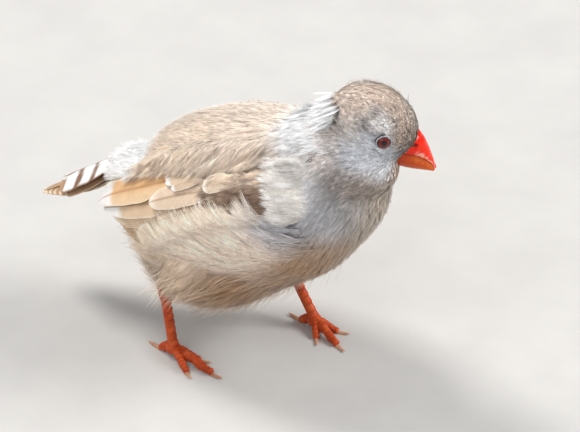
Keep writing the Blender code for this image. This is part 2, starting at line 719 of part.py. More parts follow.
def main():
    clear_scene()
    make_torso()
    make_neck()
    make_head()
    make_bill()
    make_wing("right", -1)
    make_wing("left", 1)
    make_tail()
    make_leg("right", RIGHT_KNEE, RIGHT_ANKLE, RIGHT_FOOT, RIGHT_TOES)
    make_leg("left", LEFT_KNEE, LEFT_ANKLE, LEFT_FOOT, LEFT_TOES)
    centre_on_floor()
    for obj in bpy.data.objects:
        shade(obj)


main()
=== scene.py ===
"""A zebra finch, a pale fawn hen, walking: the looks of the still, life-size model.

Sizes are real millimetres in the body's own frame: +X is the way the body faces, +Y is the
bird's left and +Z is up. to_model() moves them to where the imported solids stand, in metres.
The coat is mesh: each small feather is a web with barbs on both sides of a shaft.
"""

import math

import bmesh
import bpy
import numpy as np
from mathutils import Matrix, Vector


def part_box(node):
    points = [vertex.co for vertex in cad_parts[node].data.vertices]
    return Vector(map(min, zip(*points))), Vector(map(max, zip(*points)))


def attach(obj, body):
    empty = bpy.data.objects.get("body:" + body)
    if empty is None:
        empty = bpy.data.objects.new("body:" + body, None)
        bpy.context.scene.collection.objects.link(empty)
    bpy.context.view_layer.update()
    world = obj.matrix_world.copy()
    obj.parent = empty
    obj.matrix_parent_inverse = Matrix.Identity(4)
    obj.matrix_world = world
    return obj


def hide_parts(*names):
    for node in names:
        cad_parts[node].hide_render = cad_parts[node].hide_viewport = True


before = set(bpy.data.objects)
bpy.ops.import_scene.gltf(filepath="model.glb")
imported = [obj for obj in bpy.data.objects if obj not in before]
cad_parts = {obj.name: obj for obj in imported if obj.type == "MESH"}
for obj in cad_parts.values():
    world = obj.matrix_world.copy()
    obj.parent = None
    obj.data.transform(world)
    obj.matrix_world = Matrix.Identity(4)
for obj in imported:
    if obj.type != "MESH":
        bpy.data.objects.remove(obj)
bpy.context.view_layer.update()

MM = 0.001
random = np.random.default_rng(7)


def axes(yaw=0.0, pitch=0.0, roll=0.0):
    """Columns are forward, left and up. Yaw turns to the left, pitch dips the nose, in degrees."""
    y, p, r = (math.radians(angle) for angle in (yaw, pitch, roll))
    turn = np.array([[math.cos(y), -math.sin(y), 0], [math.sin(y), math.cos(y), 0], [0, 0, 1]])
    dip = np.array([[math.cos(p), 0, math.sin(p)], [0, 1, 0], [-math.sin(p), 0, math.cos(p)]])
    bank = np.array([[1, 0, 0], [0, math.cos(r), -math.sin(r)], [0, math.sin(r), math.cos(r)]])
    return turn @ dip @ bank


# The body's form, as in the solids.
BODY = axes(pitch=-22.0)
HEAD_YAW, HEAD_DIP = 40.0, 12.0
HEAD = axes(HEAD_YAW, HEAD_DIP)
HEAD_CENTRE = np.array([24.2, 1.6, 58.9])
SKULL_AT = HEAD_CENTRE + HEAD @ np.array([-0.3, 0.0, 3.6])
FACE_AT = HEAD_CENTRE + HEAD @ np.array([-0.1, 0.0, -1.8])
CHEEKS_AT = HEAD_CENTRE + HEAD @ np.array([-1.2, 0.0, -7.3])
MASSES = (
    ((0.9, 0.0, 36.8), (28.1, 15.9, 14.5), BODY),
    ((8.8, 0.0, 37.3), (11.6, 14.4, 12.9), BODY),
    ((3.6, 0.0, 27.3), (12.9, 10.5, 8.2), axes(pitch=-32)),
    ((-11.1, 0.0, 20.5), (16.3, 13.0, 10.7), axes(pitch=-14)),
    ((-21.3, 0.0, 25.7), (12.3, 8.0, 7.8), axes(pitch=-8)),
    ((-7.2, 0.0, 45.8), (22.9, 11.1, 9.2), axes(pitch=-22.5)),
    ((-31.0, 0.0, 34.7), (12.5, 7.2, 3.4), axes(pitch=-19)),
    ((16.4, 0.5, 52.3), (10.6, 9.1, 10.4), axes(pitch=-50)),
    (tuple(SKULL_AT), (9.3, 7.4, 6.7), axes(HEAD_YAW, 34)),
    (tuple(FACE_AT), (2.9, 5.0, 5.6), HEAD),
    (tuple(CHEEKS_AT), (7.5, 7.8, 4.3), HEAD),
)
MASS_BLEND = 1.4

# Where the head and the tail leave the body: a point, and the way it faces (towards the head).
HEAD_BASE = (np.array([20.0, 0.5, 54.2]), axes(12.0, -52.0) @ np.array([1.0, 0.0, 0.0]))
TAIL_AXES = axes(pitch=-30)
TAIL_BASE = (np.array([-36.0, 0.0, 33.0]), TAIL_AXES[:, 0])

# Bill, in the head's own axes: the ridge, the cutting edge and the keel, as forward and up.
RIDGE = ((9.2, 2.1), (10.45, 0.85), (11.9, -1.3), (13.3, -3.7), (14.35, -5.85))
EDGE = ((6.1, -1.6), (7.8, -1.95), (9.5, -2.45), (11.0, -3.1), (12.8, -4.35), (14.25, -6.1))
KEEL = ((6.4, -6.0), (7.8, -6.3), (9.2, -6.5), (11.0, -6.6), (12.7, -6.65), (14.15, -6.75))
BILL_HALF_WIDTH = 3.2
BILL_ROOT = 4.3
BILL_SEAM = 0.17
NOSTRIL = (7.9, 2.3, 0.0)

# Eyes, in the head's own axes.
EYE_PLACE = (0.4, 7.6, 2.7)
EYE_RADIUS = 1.9
EYE_SINK = 1.35
LID_RADIUS = 1.62

# Wings and legs, as in the solids.
WING_CENTRE = np.array([-3.0, 0.0, 35.4])
WING_AXES = axes(pitch=-24)
WING_FRONT_LENGTH, WING_BACK_LENGTH, WING_RADIUS = 42.0, 38.0, 16.9
BODY_CLEARANCE = 0.42
ANKLES = {-1: np.array([-16.2, -14.1, 17.6]), 1: np.array([-4.4, 13.6, 14.3])}
FEET = {-1: np.array([-15.2, -12.3, 2.3]), 1: np.array([4.1, 12.1, 2.3])}
KNEES = {-1: np.array([-9.0, -12.3, 27.0]), 1: np.array([3.0, 11.0, 26.5])}
TOES = {
    -1: {"hind": (-22.6, -10.9), "inner": (-6.4, -10.9), "middle": (-1.4, -14.8), "outer": (-6.9, -18.2)},
    1: {"hind": (-3.5, 13.5), "inner": (8.4, 6.0), "middle": (14.6, 7.1), "outer": (12.0, 13.4)},
}
CLAW_LENGTH = {"hind": 3.6, "inner": 2.6, "middle": 3.0, "outer": 2.6}
TOE_RADIUS = {"hind": 1.05, "inner": 0.85, "middle": 0.95, "outer": 0.85}
SHANK_RADIUS = 1.05
SIDE_NAMES = {1: "left", -1: "right"}


def unit(vector):
    vector = np.asarray(vector, float)
    return vector / np.maximum(np.linalg.norm(vector, axis=-1, keepdims=True), 1e-12)


def ease(t):
    t = np.clip(t, 0.0, 1.0)
    return t * t * (3 - 2 * t)


def form(points, thighs=False):
    """Distance in mm to the body's blended masses, and the way out of them."""
    points = np.atleast_2d(points)
    distances, ways = [], []
    for centre, radii, turn in MASSES:
        local = (points - np.array(centre)) @ turn
        near = np.linalg.norm(local / radii, axis=1)
        slope = local / np.square(radii)
        steep = np.linalg.norm(slope, axis=1) + 1e-9
        distances.append(near * (near - 1) / steep)
        ways.append(slope @ turn.T / steep[:, None])
    if thighs:
        for side in (-1, 1):
            distance, way = thigh_form(points, side)
            distances.append(distance)
            ways.append(way)
    distances = np.array(distances)
    least = distances.min(0)
    shares = np.exp(-(distances - least) / MASS_BLEND)
    total = shares.sum(0)
    way = np.einsum("mn,mnk->nk", shares / total, np.array(ways))
    return least - MASS_BLEND * np.log(total), unit(way)


THIGH_SHARES = (0.0, 0.15, 0.35, 0.55, 0.75, 0.9, 1.0)
THIGH_RADII = (2.6, 4.0, 4.6, 4.2, 3.2, 2.2, 1.55)


def thigh_line(side):
    """The thigh's start and end, as in the solids."""
    way = unit(ANKLES[side] - KNEES[side])
    return KNEES[side] - way * 2.0, ANKLES[side] - way * 1.9


def thigh_form(points, side):
    """Distance to one thigh, and the way out of it."""
    start, end = thigh_line(side)
    length = np.linalg.norm(end - start)
    way = (end - start) / length
    along = (points - start) @ way / length
    arm = points - start - np.clip(along, 0, 1)[:, None] * (end - start)
    radius = np.interp(along, THIGH_SHARES, THIGH_RADII)
    return np.linalg.norm(arm, axis=1) - radius, unit(arm)


def settle(points, level, rounds=5, thighs=True):
    """Moves points along the way out until the body's form reads level there."""
    points = np.array(points, float)
    for _ in range(rounds):
        distance, way = form(points, thighs)
        points += (level - distance)[:, None] * way
    return points


def before_tail(points):
    """How far in front of the tail's root points lie, in mm."""
    return (points - TAIL_BASE[0]) @ TAIL_BASE[1]


def head_point(forward, left, up):
    return HEAD_CENTRE + HEAD @ np.array([forward, left, up])


def eye_frame(side):
    """The eye's place on the head's surface, and the way it looks."""
    forward, left, up = EYE_PLACE
    inner = head_point(forward - 0.5, 0.0, up - 0.6)
    way = unit(head_point(forward, side * left, up) - inner)
    low, high = 0.0, 20.0
    for _ in range(40):
        middle = (low + high) / 2
        inside = form(inner + way * middle)[0][0] < 0
        low, high = (middle, high) if inside else (low, middle)
    return inner + way * high, way


def frame_shift():
    """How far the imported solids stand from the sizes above, read off the right eye."""
    place, way = eye_frame(-1)
    low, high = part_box("eye_right")
    return (np.array(low) + np.array(high)) / 2 / MM - (place - way * EYE_SINK)


SHIFT = frame_shift()


def to_model(points):
    return (np.asarray(points, float) + SHIFT) * MM


# The line through the body from the tail's root to the face.
SPINE_POINTS = np.array([
    (-38.0, 0.0, 32.0), (-27.0, 0.0, 33.5), (-12.0, 0.0, 33.5), (0.0, 0.0, 37.0), (9.0, 0.1, 42.0),
    (15.5, 0.4, 48.5), (20.0, 0.8, 54.5), (24.2, 1.6, 59.5), (29.5, 5.8, 59.6),
])
SPINE_REACH = 6.5


def make_spine(count=80):
    """Points evenly along a smooth line through the spine's points, and the way at each."""
    steps = np.linspace(0, len(SPINE_POINTS) - 1, 400)
    base = np.clip(steps.astype(int), 0, len(SPINE_POINTS) - 2)
    t = (steps - base)[:, None]
    around = [SPINE_POINTS[np.clip(base + k, 0, len(SPINE_POINTS) - 1)] for k in (-1, 0, 1, 2)]
    p0, p1, p2, p3 = around
    line = 0.5 * (2 * p1 + (p2 - p0) * t + (2 * p0 - 5 * p1 + 4 * p2 - p3) * t**2 + (3 * p1 - p0 - 3 * p2 + p3) * t**3)
    length = np.r_[0, np.cumsum(np.linalg.norm(np.diff(line, axis=0), axis=1))]
    even = np.linspace(0, length[-1], count)
    line = np.stack([np.interp(even, length, line[:, k]) for k in range(3)], 1)
    return line, unit(np.gradient(line, axis=0))


SPINE, SPINE_WAY = make_spine()


def along_spine(points, reach=SPINE_REACH):
    """For each point, its share along the spine, the spine's way there and its place there."""
    shares, ways, places = [], [], []
    line = np.linspace(0, 1, len(SPINE))
    for block in np.array_split(points, max(1, len(points) // 60000)):
        square = ((block[:, None, :] - SPINE[None]) ** 2).sum(2)
        weight = np.exp(-(square - square.min(1, keepdims=True)) / (2 * reach**2))
        weight /= weight.sum(1, keepdims=True)
        shares.append(weight @ line)
        ways.append(unit(weight @ SPINE_WAY))
        places.append(weight @ SPINE)
    return np.concatenate(shares), np.concatenate(ways), np.concatenate(places)


def unwrap(points):
    """Places on a flat unwrap of the skin: round the spine, and along it from tail to face."""
    share, way, place = along_spine(points, 3.0)
    arm = points - place
    side = unit(np.cross(np.array([0.0, 0.0, 1.0]), way))
    up = np.cross(way, side)
    angle = np.arctan2((arm * side).sum(1), -(arm * up).sum(1))
    return np.stack([0.02 + 0.94 * (angle / (2 * math.pi) + 0.5), 0.02 + 0.95 * share], 1)


def head_share(points):
    """0 on the body and 1 on the head, turning over the neck."""
    return ease(((points - HEAD_BASE[0]) @ HEAD_BASE[1] + 4.0) / 8.0)


BILL_CENTRE = head_point(9.0, 0.0, -1.0)
BILL_DIP = 1.5


def lie(points, normals, thigh_pull=True):
    """The way that the feathers lie: back from the bill, down the neck and along to the tail."""
    _, way, _ = along_spine(points)
    back = -way
    side = np.sign(points[:, 1:2]) * np.clip(np.abs(points[:, 1:2]) / 12, 0, 1)
    back = back + np.array([0.0, 0.12, 0.0]) * side
    face = unit(points - BILL_CENTRE)
    share = head_share(points)[:, None]
    back = unit(back) * (1 - share) + face * share
    if thigh_pull:
        for hand in (-1, 1):
            start, end = thigh_line(hand)
            distance, _ = thigh_form(points, hand)
            body, _ = form(points)
            pull = ease((body + 1.0) / 3.0)[:, None] * ease((3.0 - distance) / 3.0)[:, None]
            back = back * (1 - pull) + unit(end - start) * pull
    back = back - normals * (back * normals).sum(1, keepdims=True)
    return unit(back)


# Colours, as the eye reads them, in parts of 255.
PALETTE = {
    "forehead": (214, 194, 178),
    "lore": (184, 164, 150),
    "crown": (186, 168, 154),
    "hind crown": (204, 187, 173),
    "brow": (246, 241, 238),
    "brow shade": (156, 151, 151),
    "cheek": (234, 237, 244),
    "ear": (222, 213, 206),
    "throat": (172, 150, 132),
    "nape": (190, 174, 162),
    "nape tuft": (250, 250, 251),
    # Painted shadow under the cheek, between the cheek and the breast.
    "shade under cheek": (128, 118, 110),
    "breast": (189, 188, 191),
    # Partly painted shade: the lower breast's pale buff is darkened as shade on the underside.
    "breast low": (184, 168, 150),
    "flank": (246, 224, 205),
    # Partly painted shade: the belly's warm buff is darkened as shade on the underside.
    "belly": (170, 129, 87),
    "vent": (218, 195, 168),
    "shoulder": (254, 253, 253),
    "mantle": (230, 214, 198),
    "mantle low": (228, 206, 184),
    "lower back": (224, 206, 187),
    "rump": (255, 254, 252),
    "thigh": (222, 198, 168),
    "lesser covert": (140, 116, 98),
    "neck side": (220, 208, 200),
    "breast side": (232, 226, 219),
    "breast base": (184, 154, 127),
    "flank hair": (253, 237, 218),
}

# Each region of the coat: whose axes it is placed in, its place there (left stands for both
# sides), its reach, its colour, and its feathers' length in mm.
REGIONS = (
    ("head", (8.0, 1.5, 6.5), 3.4, "forehead", 1.3),
    ("head", (5.6, 6.0, 2.6), 2.4, "lore", 1.1),
    ("head", (1.0, 1.0, 11.0), 4.0, "crown", 2.3),
    ("head", (-5.0, 2.0, 9.0), 4.0, "hind crown", 2.9),
    ("head", (-1.0, 6.9, 6.6), 1.5, "brow", 2.3),
    ("head", (-2.4, 5.8, 8.5), 1.5, "brow shade", 2.4),
    ("head", (-4.4, 6.3, 5.9), 1.5, "brow shade", 2.4),
    ("head", (-3.4, 7.0, -1.4), 3.8, "cheek", 2.6),
    ("head", (2.0, 7.2, -2.4), 2.6, "cheek", 1.6),
    ("head", (-7.6, 4.4, 2.6), 2.6, "ear", 3.0),
    ("head", (4.0, 2.0, -8.0), 3.6, "throat", 2.2),
    ("head", (-3.0, 6.0, -8.5), 3.2, "throat", 2.9),
    ("head", (-9.6, 1.0, 4.0), 2.8, "nape", 3.4),
    ("body", (14.5, 0.6, 62.0), 2.6, "nape tuft", 4.2),
    ("body", (16.5, 7.4, 56.5), 3.6, "neck side", 4.0),
    # Painted shadow under the cheek.
    ("body", (21.5, 7.6, 51.0), 3.8, "shade under cheek", 3.8),
    ("body", (13.5, 10.6, 50.5), 3.4, "shoulder", 4.8),
    ("body", (10.0, 4.6, 58.5), 4.6, "shoulder", 5.0),
    ("body", (21.0, 9.5, 45.5), 6.5, "breast", 4.6),
    ("body", (27.0, 1.0, 42.0), 6.0, "breast low", 4.6),
    ("body", (10.0, 13.0, 42.5), 5.0, "breast", 5.4),
    ("body", (15.0, 5.0, 28.0), 6.0, "belly", 6.0),
    ("body", (21.0, 2.0, 33.0), 5.0, "breast base", 5.2),
    ("body", (18.0, 9.5, 34.0), 4.4, "breast base", 5.6),
    ("body", (2.0, 15.5, 33.0), 7.0, "flank", 6.4),
    ("body", (-8.0, 14.5, 33.0), 6.0, "flank", 6.6),
    ("body", (12.0, 11.0, 27.5), 4.6, "belly", 6.0),
    ("body", (-3.0, 8.0, 18.0), 7.0, "belly", 6.8),
    ("body", (-14.0, 12.0, 24.0), 6.0, "vent", 7.0),
    ("body", (-24.0, 4.0, 21.0), 6.0, "vent", 7.0),
    ("body", (-1.0, 4.0, 55.5), 6.5, "mantle", 6.2),
    ("body", (2.0, 10.5, 49.5), 4.0, "mantle low", 6.2),
    ("body", (-14.0, 6.0, 50.0), 6.0, "lower back", 6.2),
    ("body", (-20.0, 10.0, 41.0), 4.5, "mantle low", 6.0),
    ("body", (-31.0, 3.0, 37.5), 5.0, "rump", 5.4),
    ("body", (-30.0, 6.5, 31.0), 3.5, "vent", 5.4),
)


def linear(colour):
    """A colour of 255 parts, as the eye reads it, in linear light."""
    share = np.asarray(colour, float) / 255
    return np.where(share <= 0.04045, share / 12.92, ((share + 0.055) / 1.055) ** 2.4)


def region_shares(points):
    """How much each region counts at each point."""
    head = (points - HEAD_CENTRE) @ HEAD
    head[:, 1] = np.abs(head[:, 1])
    body = points.copy()
    body[:, 1] = np.abs(body[:, 1])
    weights = []
    for whose, place, reach, _, _ in REGIONS:
        local = head if whose == "head" else body
        weights.append(np.exp(-((local - np.array(place)) ** 2).sum(1) / (1.1 * reach**2)))
    weights = np.array(weights) + 1e-12
    return weights / weights.sum(0)


def ripple(points, size, seed):
    """Smooth, seeded ups and downs in space, about size mm across, from -1 to 1."""
    draw = np.random.default_rng(seed)
    total = np.zeros(len(points))
    for _ in range(7):
        way = unit(draw.normal(size=3))
        total += np.sin(points @ way * 2 * math.pi / (size * draw.uniform(0.7, 1.6)) + draw.uniform(0, 6.28))
    return total / 3.2


def plumage(points):
    """The coat's colour and its feathers' length at points on the body."""
    shares = region_shares(points)
    colours = np.array([linear(PALETTE[colour]) for _, _, _, colour, _ in REGIONS])
    lengths = np.array([length for *_, length in REGIONS])
    colour = shares.T @ colours
    colour *= (1 + 0.05 * ripple(points, 9.0, 3) + 0.05 * ripple(points, 3.5, 4))[:, None]
    return colour, shares.T @ lengths


def mesh_object(name, points, faces, normals=None, colours=None, uvs=None, smooth=True):
    """A mesh object from points in mm. faces is an array of triangles or quads, colours are linear."""
    faces = np.asarray(faces, np.int32)
    corners = faces.shape[1]
    mesh = bpy.data.meshes.new(name)
    mesh.vertices.add(len(points))
    mesh.vertices.foreach_set("co", to_model(points).astype(np.float32).ravel())
    mesh.loops.add(faces.size)
    mesh.loops.foreach_set("vertex_index", faces.ravel())
    mesh.polygons.add(len(faces))
    mesh.polygons.foreach_set("loop_start", np.arange(0, faces.size, corners, dtype=np.int32))
    mesh.update(calc_edges=True)
    mesh.validate()
    mesh.polygons.foreach_set("use_smooth", np.full(len(mesh.polygons), smooth))
    if colours is not None:
        layer = mesh.color_attributes.new("Plume", "FLOAT_COLOR", "POINT")
        full = np.ones((len(points), 4), np.float32)
        full[:, :3] = np.clip(colours, 0, 1)
        layer.data.foreach_set("color", full.ravel())
    if uvs is not None:
        for layer_name, per_point in uvs.items():
            layer = mesh.uv_layers.new(name=layer_name)
            layer.data.foreach_set("uv", per_point[faces.ravel()].astype(np.float32).ravel())
    if normals is not None:
        attribute = mesh.attributes.new("custom_normal", "FLOAT_VECTOR", "POINT")
        attribute.data.foreach_set("vector", unit(normals).astype(np.float32).ravel())
    obj = bpy.data.objects.new(name, mesh)
    bpy.context.scene.collection.objects.link(obj)
    return obj


def place_piece(obj, finish, replaced=()):
    """Gives a piece its material, its body and the solids that it stands for."""
    obj.data.materials.append(finish)
    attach(obj, "root")
    if replaced:
        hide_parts(*replaced)
    return obj


# Materials

def new_material(name):
    made = bpy.data.materials.new(name)
    made.use_nodes = True
    nodes, links = made.node_tree.nodes, made.node_tree.links
    shader = nodes["Principled BSDF"]
    return made, nodes, links, shader


def mixed(nodes, links, share, first, second, blend="MIX"):
    """A colour mix. Each input is a colour, a number or a socket."""
    mix = nodes.new("ShaderNodeMix")
    mix.data_type = "RGBA"
    mix.blend_type = blend
    for socket, value in ((mix.inputs[0], share), (mix.inputs[6], first), (mix.inputs[7], second)):
        if isinstance(value, bpy.types.NodeSocket):
            links.new(value, socket)
        elif isinstance(value, (int, float)):
            socket.default_value = value
        else:
            socket.default_value = (*value, 1.0)
    return mix.outputs[2]


def noise(nodes, links, coordinates, scale, detail=4.0, roughness=0.55):
    made = nodes.new("ShaderNodeTexNoise")
    made.inputs["Scale"].default_value = scale
    made.inputs["Detail"].default_value = detail
    made.inputs["Roughness"].default_value = roughness
    links.new(coordinates, made.inputs["Vector"])
    return made.outputs[0]


def ramp(nodes, links, value, stops):
    """A colour ramp of (place, colour) stops."""
    made = nodes.new("ShaderNodeValToRGB")
    elements = made.color_ramp.elements
    while len(elements) < len(stops):
        elements.new(0.5)
    for element, (place, colour) in zip(elements, stops):
        element.position = place
        element.color = (*colour, 1.0)
    links.new(value, made.inputs[0])
    return made.outputs[0]


def bump(nodes, links, shader, height, strength, distance):
    made = nodes.new("ShaderNodeBump")
    made.inputs["Strength"].default_value = strength
    made.inputs["Distance"].default_value = distance
    links.new(height, made.inputs["Height"])
    links.new(made.outputs[0], shader.inputs["Normal"])


def object_place(nodes):
    return nodes.new("ShaderNodeTexCoord").outputs["Object"]


def plume_material(name, fine=900.0, spread=(0.86, 1.08)):
    """Soft, dull feather: the coat's own markings, broken up by fine noise."""
    made, nodes, links, shader = new_material(name)
    mark = nodes.new("ShaderNodeAttribute")
    mark.attribute_name = "Plume"
    where = object_place(nodes)
    grain = noise(nodes, links, where, fine, 5.0, 0.6)
    low, high = spread
    shade = ramp(nodes, links, grain, ((0.3, (low, low, low)), (0.7, (high, high, high))))
    colour = mixed(nodes, links, 1.0, mark.outputs["Color"], shade, "MULTIPLY")
    links.new(colour, shader.inputs["Base Color"])
    bump(nodes, links, shader, grain, 0.25, 0.0001)
    shader.inputs["Roughness"].default_value = 0.82
    shader.inputs["Specular IOR Level"].default_value = 0.25
    shader.inputs["Sheen Weight"].default_value = 0.5
    shader.inputs["Sheen Roughness"].default_value = 0.4
    return made


def vane_material(name):
    """A flight feather: markings crossed by fine slanting barbs, read from the Barbs map in mm."""
    made, nodes, links, shader = new_material(name)
    mark = nodes.new("ShaderNodeAttribute")
    mark.attribute_name = "Plume"
    barbs = nodes.new("ShaderNodeUVMap")
    barbs.uv_map = "Barbs"
    split = nodes.new("ShaderNodeSeparateXYZ")
    links.new(barbs.outputs[0], split.inputs[0])
    across = nodes.new("ShaderNodeMath")
    across.operation = "ABSOLUTE"
    links.new(split.outputs[1], across.inputs[0])
    slant = nodes.new("ShaderNodeMath")
    slant.operation = "MULTIPLY_ADD"
    slant.inputs[1].default_value = -1.5
    links.new(across.outputs[0], slant.inputs[0])
    links.new(split.outputs[0], slant.inputs[2])
    joined = nodes.new("ShaderNodeCombineXYZ")
    links.new(slant.outputs[0], joined.inputs[0])
    streaks = noise(nodes, links, joined.outputs[0], 2.6, 3.0, 0.7)
    where = object_place(nodes)
    blotch = noise(nodes, links, where, 350.0, 3.0)
    shade = ramp(nodes, links, streaks, ((0.3, (0.76, 0.74, 0.72)), (0.7, (1.1, 1.1, 1.1))))
    colour = mixed(nodes, links, 1.0, mark.outputs["Color"], shade, "MULTIPLY")
    soft = ramp(nodes, links, blotch, ((0.3, (0.92, 0.92, 0.92)), (0.7, (1.05, 1.05, 1.05))))
    colour = mixed(nodes, links, 1.0, colour, soft, "MULTIPLY")
    links.new(colour, shader.inputs["Base Color"])
    bump(nodes, links, shader, streaks, 0.35, 0.00012)
    shader.inputs["Roughness"].default_value = 0.6
    shader.inputs["Specular IOR Level"].default_value = 0.35
    shader.inputs["Sheen Weight"].default_value = 0.15
    return made


def bill_material(name, main, bright, deep):
    """Waxy horn: deeper towards the face, brighter at the edges, with faint growth lines."""
    made, nodes, links, shader = new_material(name)
    mark = nodes.new("ShaderNodeAttribute")
    mark.attribute_name = "Plume"
    where = object_place(nodes)
    cloud = noise(nodes, links, where, 420.0, 4.0)
    fine = noise(nodes, links, where, 2600.0, 3.0)
    tint = ramp(nodes, links, cloud, ((0.25, deep), (0.5, main), (0.78, bright)))
    colour = mixed(nodes, links, 0.72, tint, mark.outputs["Color"], "MIX")
    links.new(colour, shader.inputs["Base Color"])
    rough = nodes.new("ShaderNodeMapRange")
    rough.inputs["To Min"].default_value = 0.2
    rough.inputs["To Max"].default_value = 0.42
    links.new(cloud, rough.inputs["Value"])
    links.new(rough.outputs[0], shader.inputs["Roughness"])
    bump(nodes, links, shader, fine, 0.12, 0.00008)
    shader.inputs["Subsurface Weight"].default_value = 0.06
    shader.inputs["Subsurface Radius"].default_value = (0.0012, 0.0004, 0.0002)
    shader.inputs["Specular IOR Level"].default_value = 0.1
    shader.inputs["Coat Weight"].default_value = 0.25
    shader.inputs["Coat Roughness"].default_value = 0.07
    return made


def skin_material(name, main, bright, deep, roughness=0.45):
    """Scaly leg skin or claw horn, coloured by its marks and clouded by noise."""
    made, nodes, links, shader = new_material(name)
    mark = nodes.new("ShaderNodeAttribute")
    mark.attribute_name = "Plume"
    where = object_place(nodes)
    cloud = noise(nodes, links, where, 500.0, 5.0)
    fine = noise(nodes, links, where, 3200.0, 3.0)
    tint = ramp(nodes, links, cloud, ((0.25, deep), (0.5, main), (0.8, bright)))
    colour = mixed(nodes, links, 1.0, tint, mark.outputs["Color"], "MULTIPLY")
    links.new(colour, shader.inputs["Base Color"])
    bump(nodes, links, shader, fine, 0.3, 0.0001)
    shader.inputs["Roughness"].default_value = roughness
    shader.inputs["Specular IOR Level"].default_value = 0.2
    shader.inputs["Subsurface Weight"].default_value = 0.1
    shader.inputs["Subsurface Radius"].default_value = (0.0012, 0.0004, 0.0002)
    return made


# The skin

def ico_points(level=4):
    """A unit ball's points and triangles."""
    work = bmesh.new()
    bmesh.ops.create_icosphere(work, subdivisions=level, radius=1.0)
    points = np.array([tuple(v.co) for v in work.verts])
    faces = np.array([[v.index for v in f.verts] for f in work.faces])
    work.free()
    return points, faces


BODY_COAT, HEAD_COAT, FACE_THINNER = 1.15, 0.42, 0.2


def coat_depth(points):
    """How far the skin lies under the coat's outside, in mm."""
    share = head_share(points)
    thigh = np.minimum(thigh_form(points, 1)[0], thigh_form(points, -1)[0])
    body = BODY_COAT - 0.55 * ease((2.0 - thigh) / 3.0) * ease((form(points)[0] + 1.0) / 2.0)
    local = (points - HEAD_CENTRE) @ HEAD
    head = HEAD_COAT - FACE_THINNER * ease((local[:, 0] - 1.0) / 5.0)
    return body * (1 - share) + head * share


def make_skin():
    """One closed skin under the coat, from the tail's root to the bill's, with both thighs."""
    ball, ball_faces = ico_points(4)
    points, faces, count = [], [], 0
    for centre, radii, turn in MASSES:
        points.append(np.array(centre) + (ball * np.array(radii)) @ turn.T)
        faces.append(ball_faces + count)
        count += len(ball)
    for side in (-1, 1):
        start, end = thigh_line(side)
        way = unit(end - start)
        across = unit(np.cross(way, [0.0, 1.0, 0.0]))
        turn = np.stack([way, across, np.cross(way, across)], 1)
        length = np.linalg.norm(end - start)
        radius = np.interp((ball[:, 0] + 1) / 2, THIGH_SHARES, THIGH_RADII)
        around = unit(ball[:, 1:]) * (radius * np.sqrt(np.clip(1 - ball[:, 0] ** 6, 0, 1)))[:, None]
        local = np.c_[(ball[:, 0] + 1) / 2 * length, around]
        points.append(start + local @ turn.T)
        faces.append(ball_faces + count)
        count += len(ball)
    rough = mesh_object("rough_skin", np.concatenate(points), np.concatenate(faces))
    remesh = rough.modifiers.new("remesh", "REMESH")
    remesh.mode = "VOXEL"
    remesh.voxel_size = 0.62 * MM
    graph = bpy.context.evaluated_depsgraph_get()
    mesh = bpy.data.meshes.new_from_object(rough.evaluated_get(graph), depsgraph=graph)
    bpy.data.objects.remove(rough)
    co = np.zeros(len(mesh.vertices) * 3)
    mesh.vertices.foreach_get("co", co)
    points = co.reshape(-1, 3) / MM - SHIFT
    edges = np.zeros(len(mesh.edges) * 2, np.int32)
    mesh.edges.foreach_get("vertices", edges)
    edges = edges.reshape(-1, 2)
    quads = np.zeros(len(mesh.loops), np.int32)
    mesh.loops.foreach_get("vertex_index", quads)
    quads = quads.reshape(-1, 4)
    for _ in range(4):
        total = np.zeros_like(points)
        number = np.zeros(len(points))
        for a, b in ((0, 1), (1, 0)):
            np.add.at(total, edges[:, a], points[edges[:, b]])
            np.add.at(number, edges[:, a], 1)
        points = points * 0.5 + total / number[:, None] * 0.5
        points = settle(points, -coat_depth(points), 3)
    local = (points - HEAD_CENTRE) @ HEAD
    at_bill = BILL_DIP * ease((local[:, 0] - bill_edge(local[:, 1], local[:, 2]) + 0.4) / 1.3)
    points = settle(points, -coat_depth(points) - at_bill, 3)
    behind = np.minimum(before_tail(points), 0)
    points = points - (0.85 * behind)[:, None] * TAIL_BASE[1]
    bpy.data.meshes.remove(mesh)
    return points, quads


# Feathers

def one_per_cell(points, spacing, offset=0.0):
    """Which of the points to keep so that about one is left in each cell of that size."""
    cells = np.floor((points + offset) / spacing).astype(np.int64)
    key = cells[:, 0] * 4000003 + cells[:, 1] * 2003 + cells[:, 2]
    _, first = np.unique(key, return_index=True)
    return first


def scatter(skin, quads, count):
    """Points spread evenly over the skin."""
    triangles = np.concatenate([quads[:, [0, 1, 2]], quads[:, [0, 2, 3]]])
    corners = skin[triangles]
    areas = np.linalg.norm(np.cross(corners[:, 1] - corners[:, 0], corners[:, 2] - corners[:, 0]), axis=1)
    chosen = random.choice(len(triangles), count, p=areas / areas.sum())
    u, v = random.random(count), random.random(count)
    over = u + v > 1
    u[over], v[over] = 1 - u[over], 1 - v[over]
    picked = corners[chosen]
    return picked[:, 0] + u[:, None] * (picked[:, 1] - picked[:, 0]) + v[:, None] * (picked[:, 2] - picked[:, 0])


STATIONS = 5


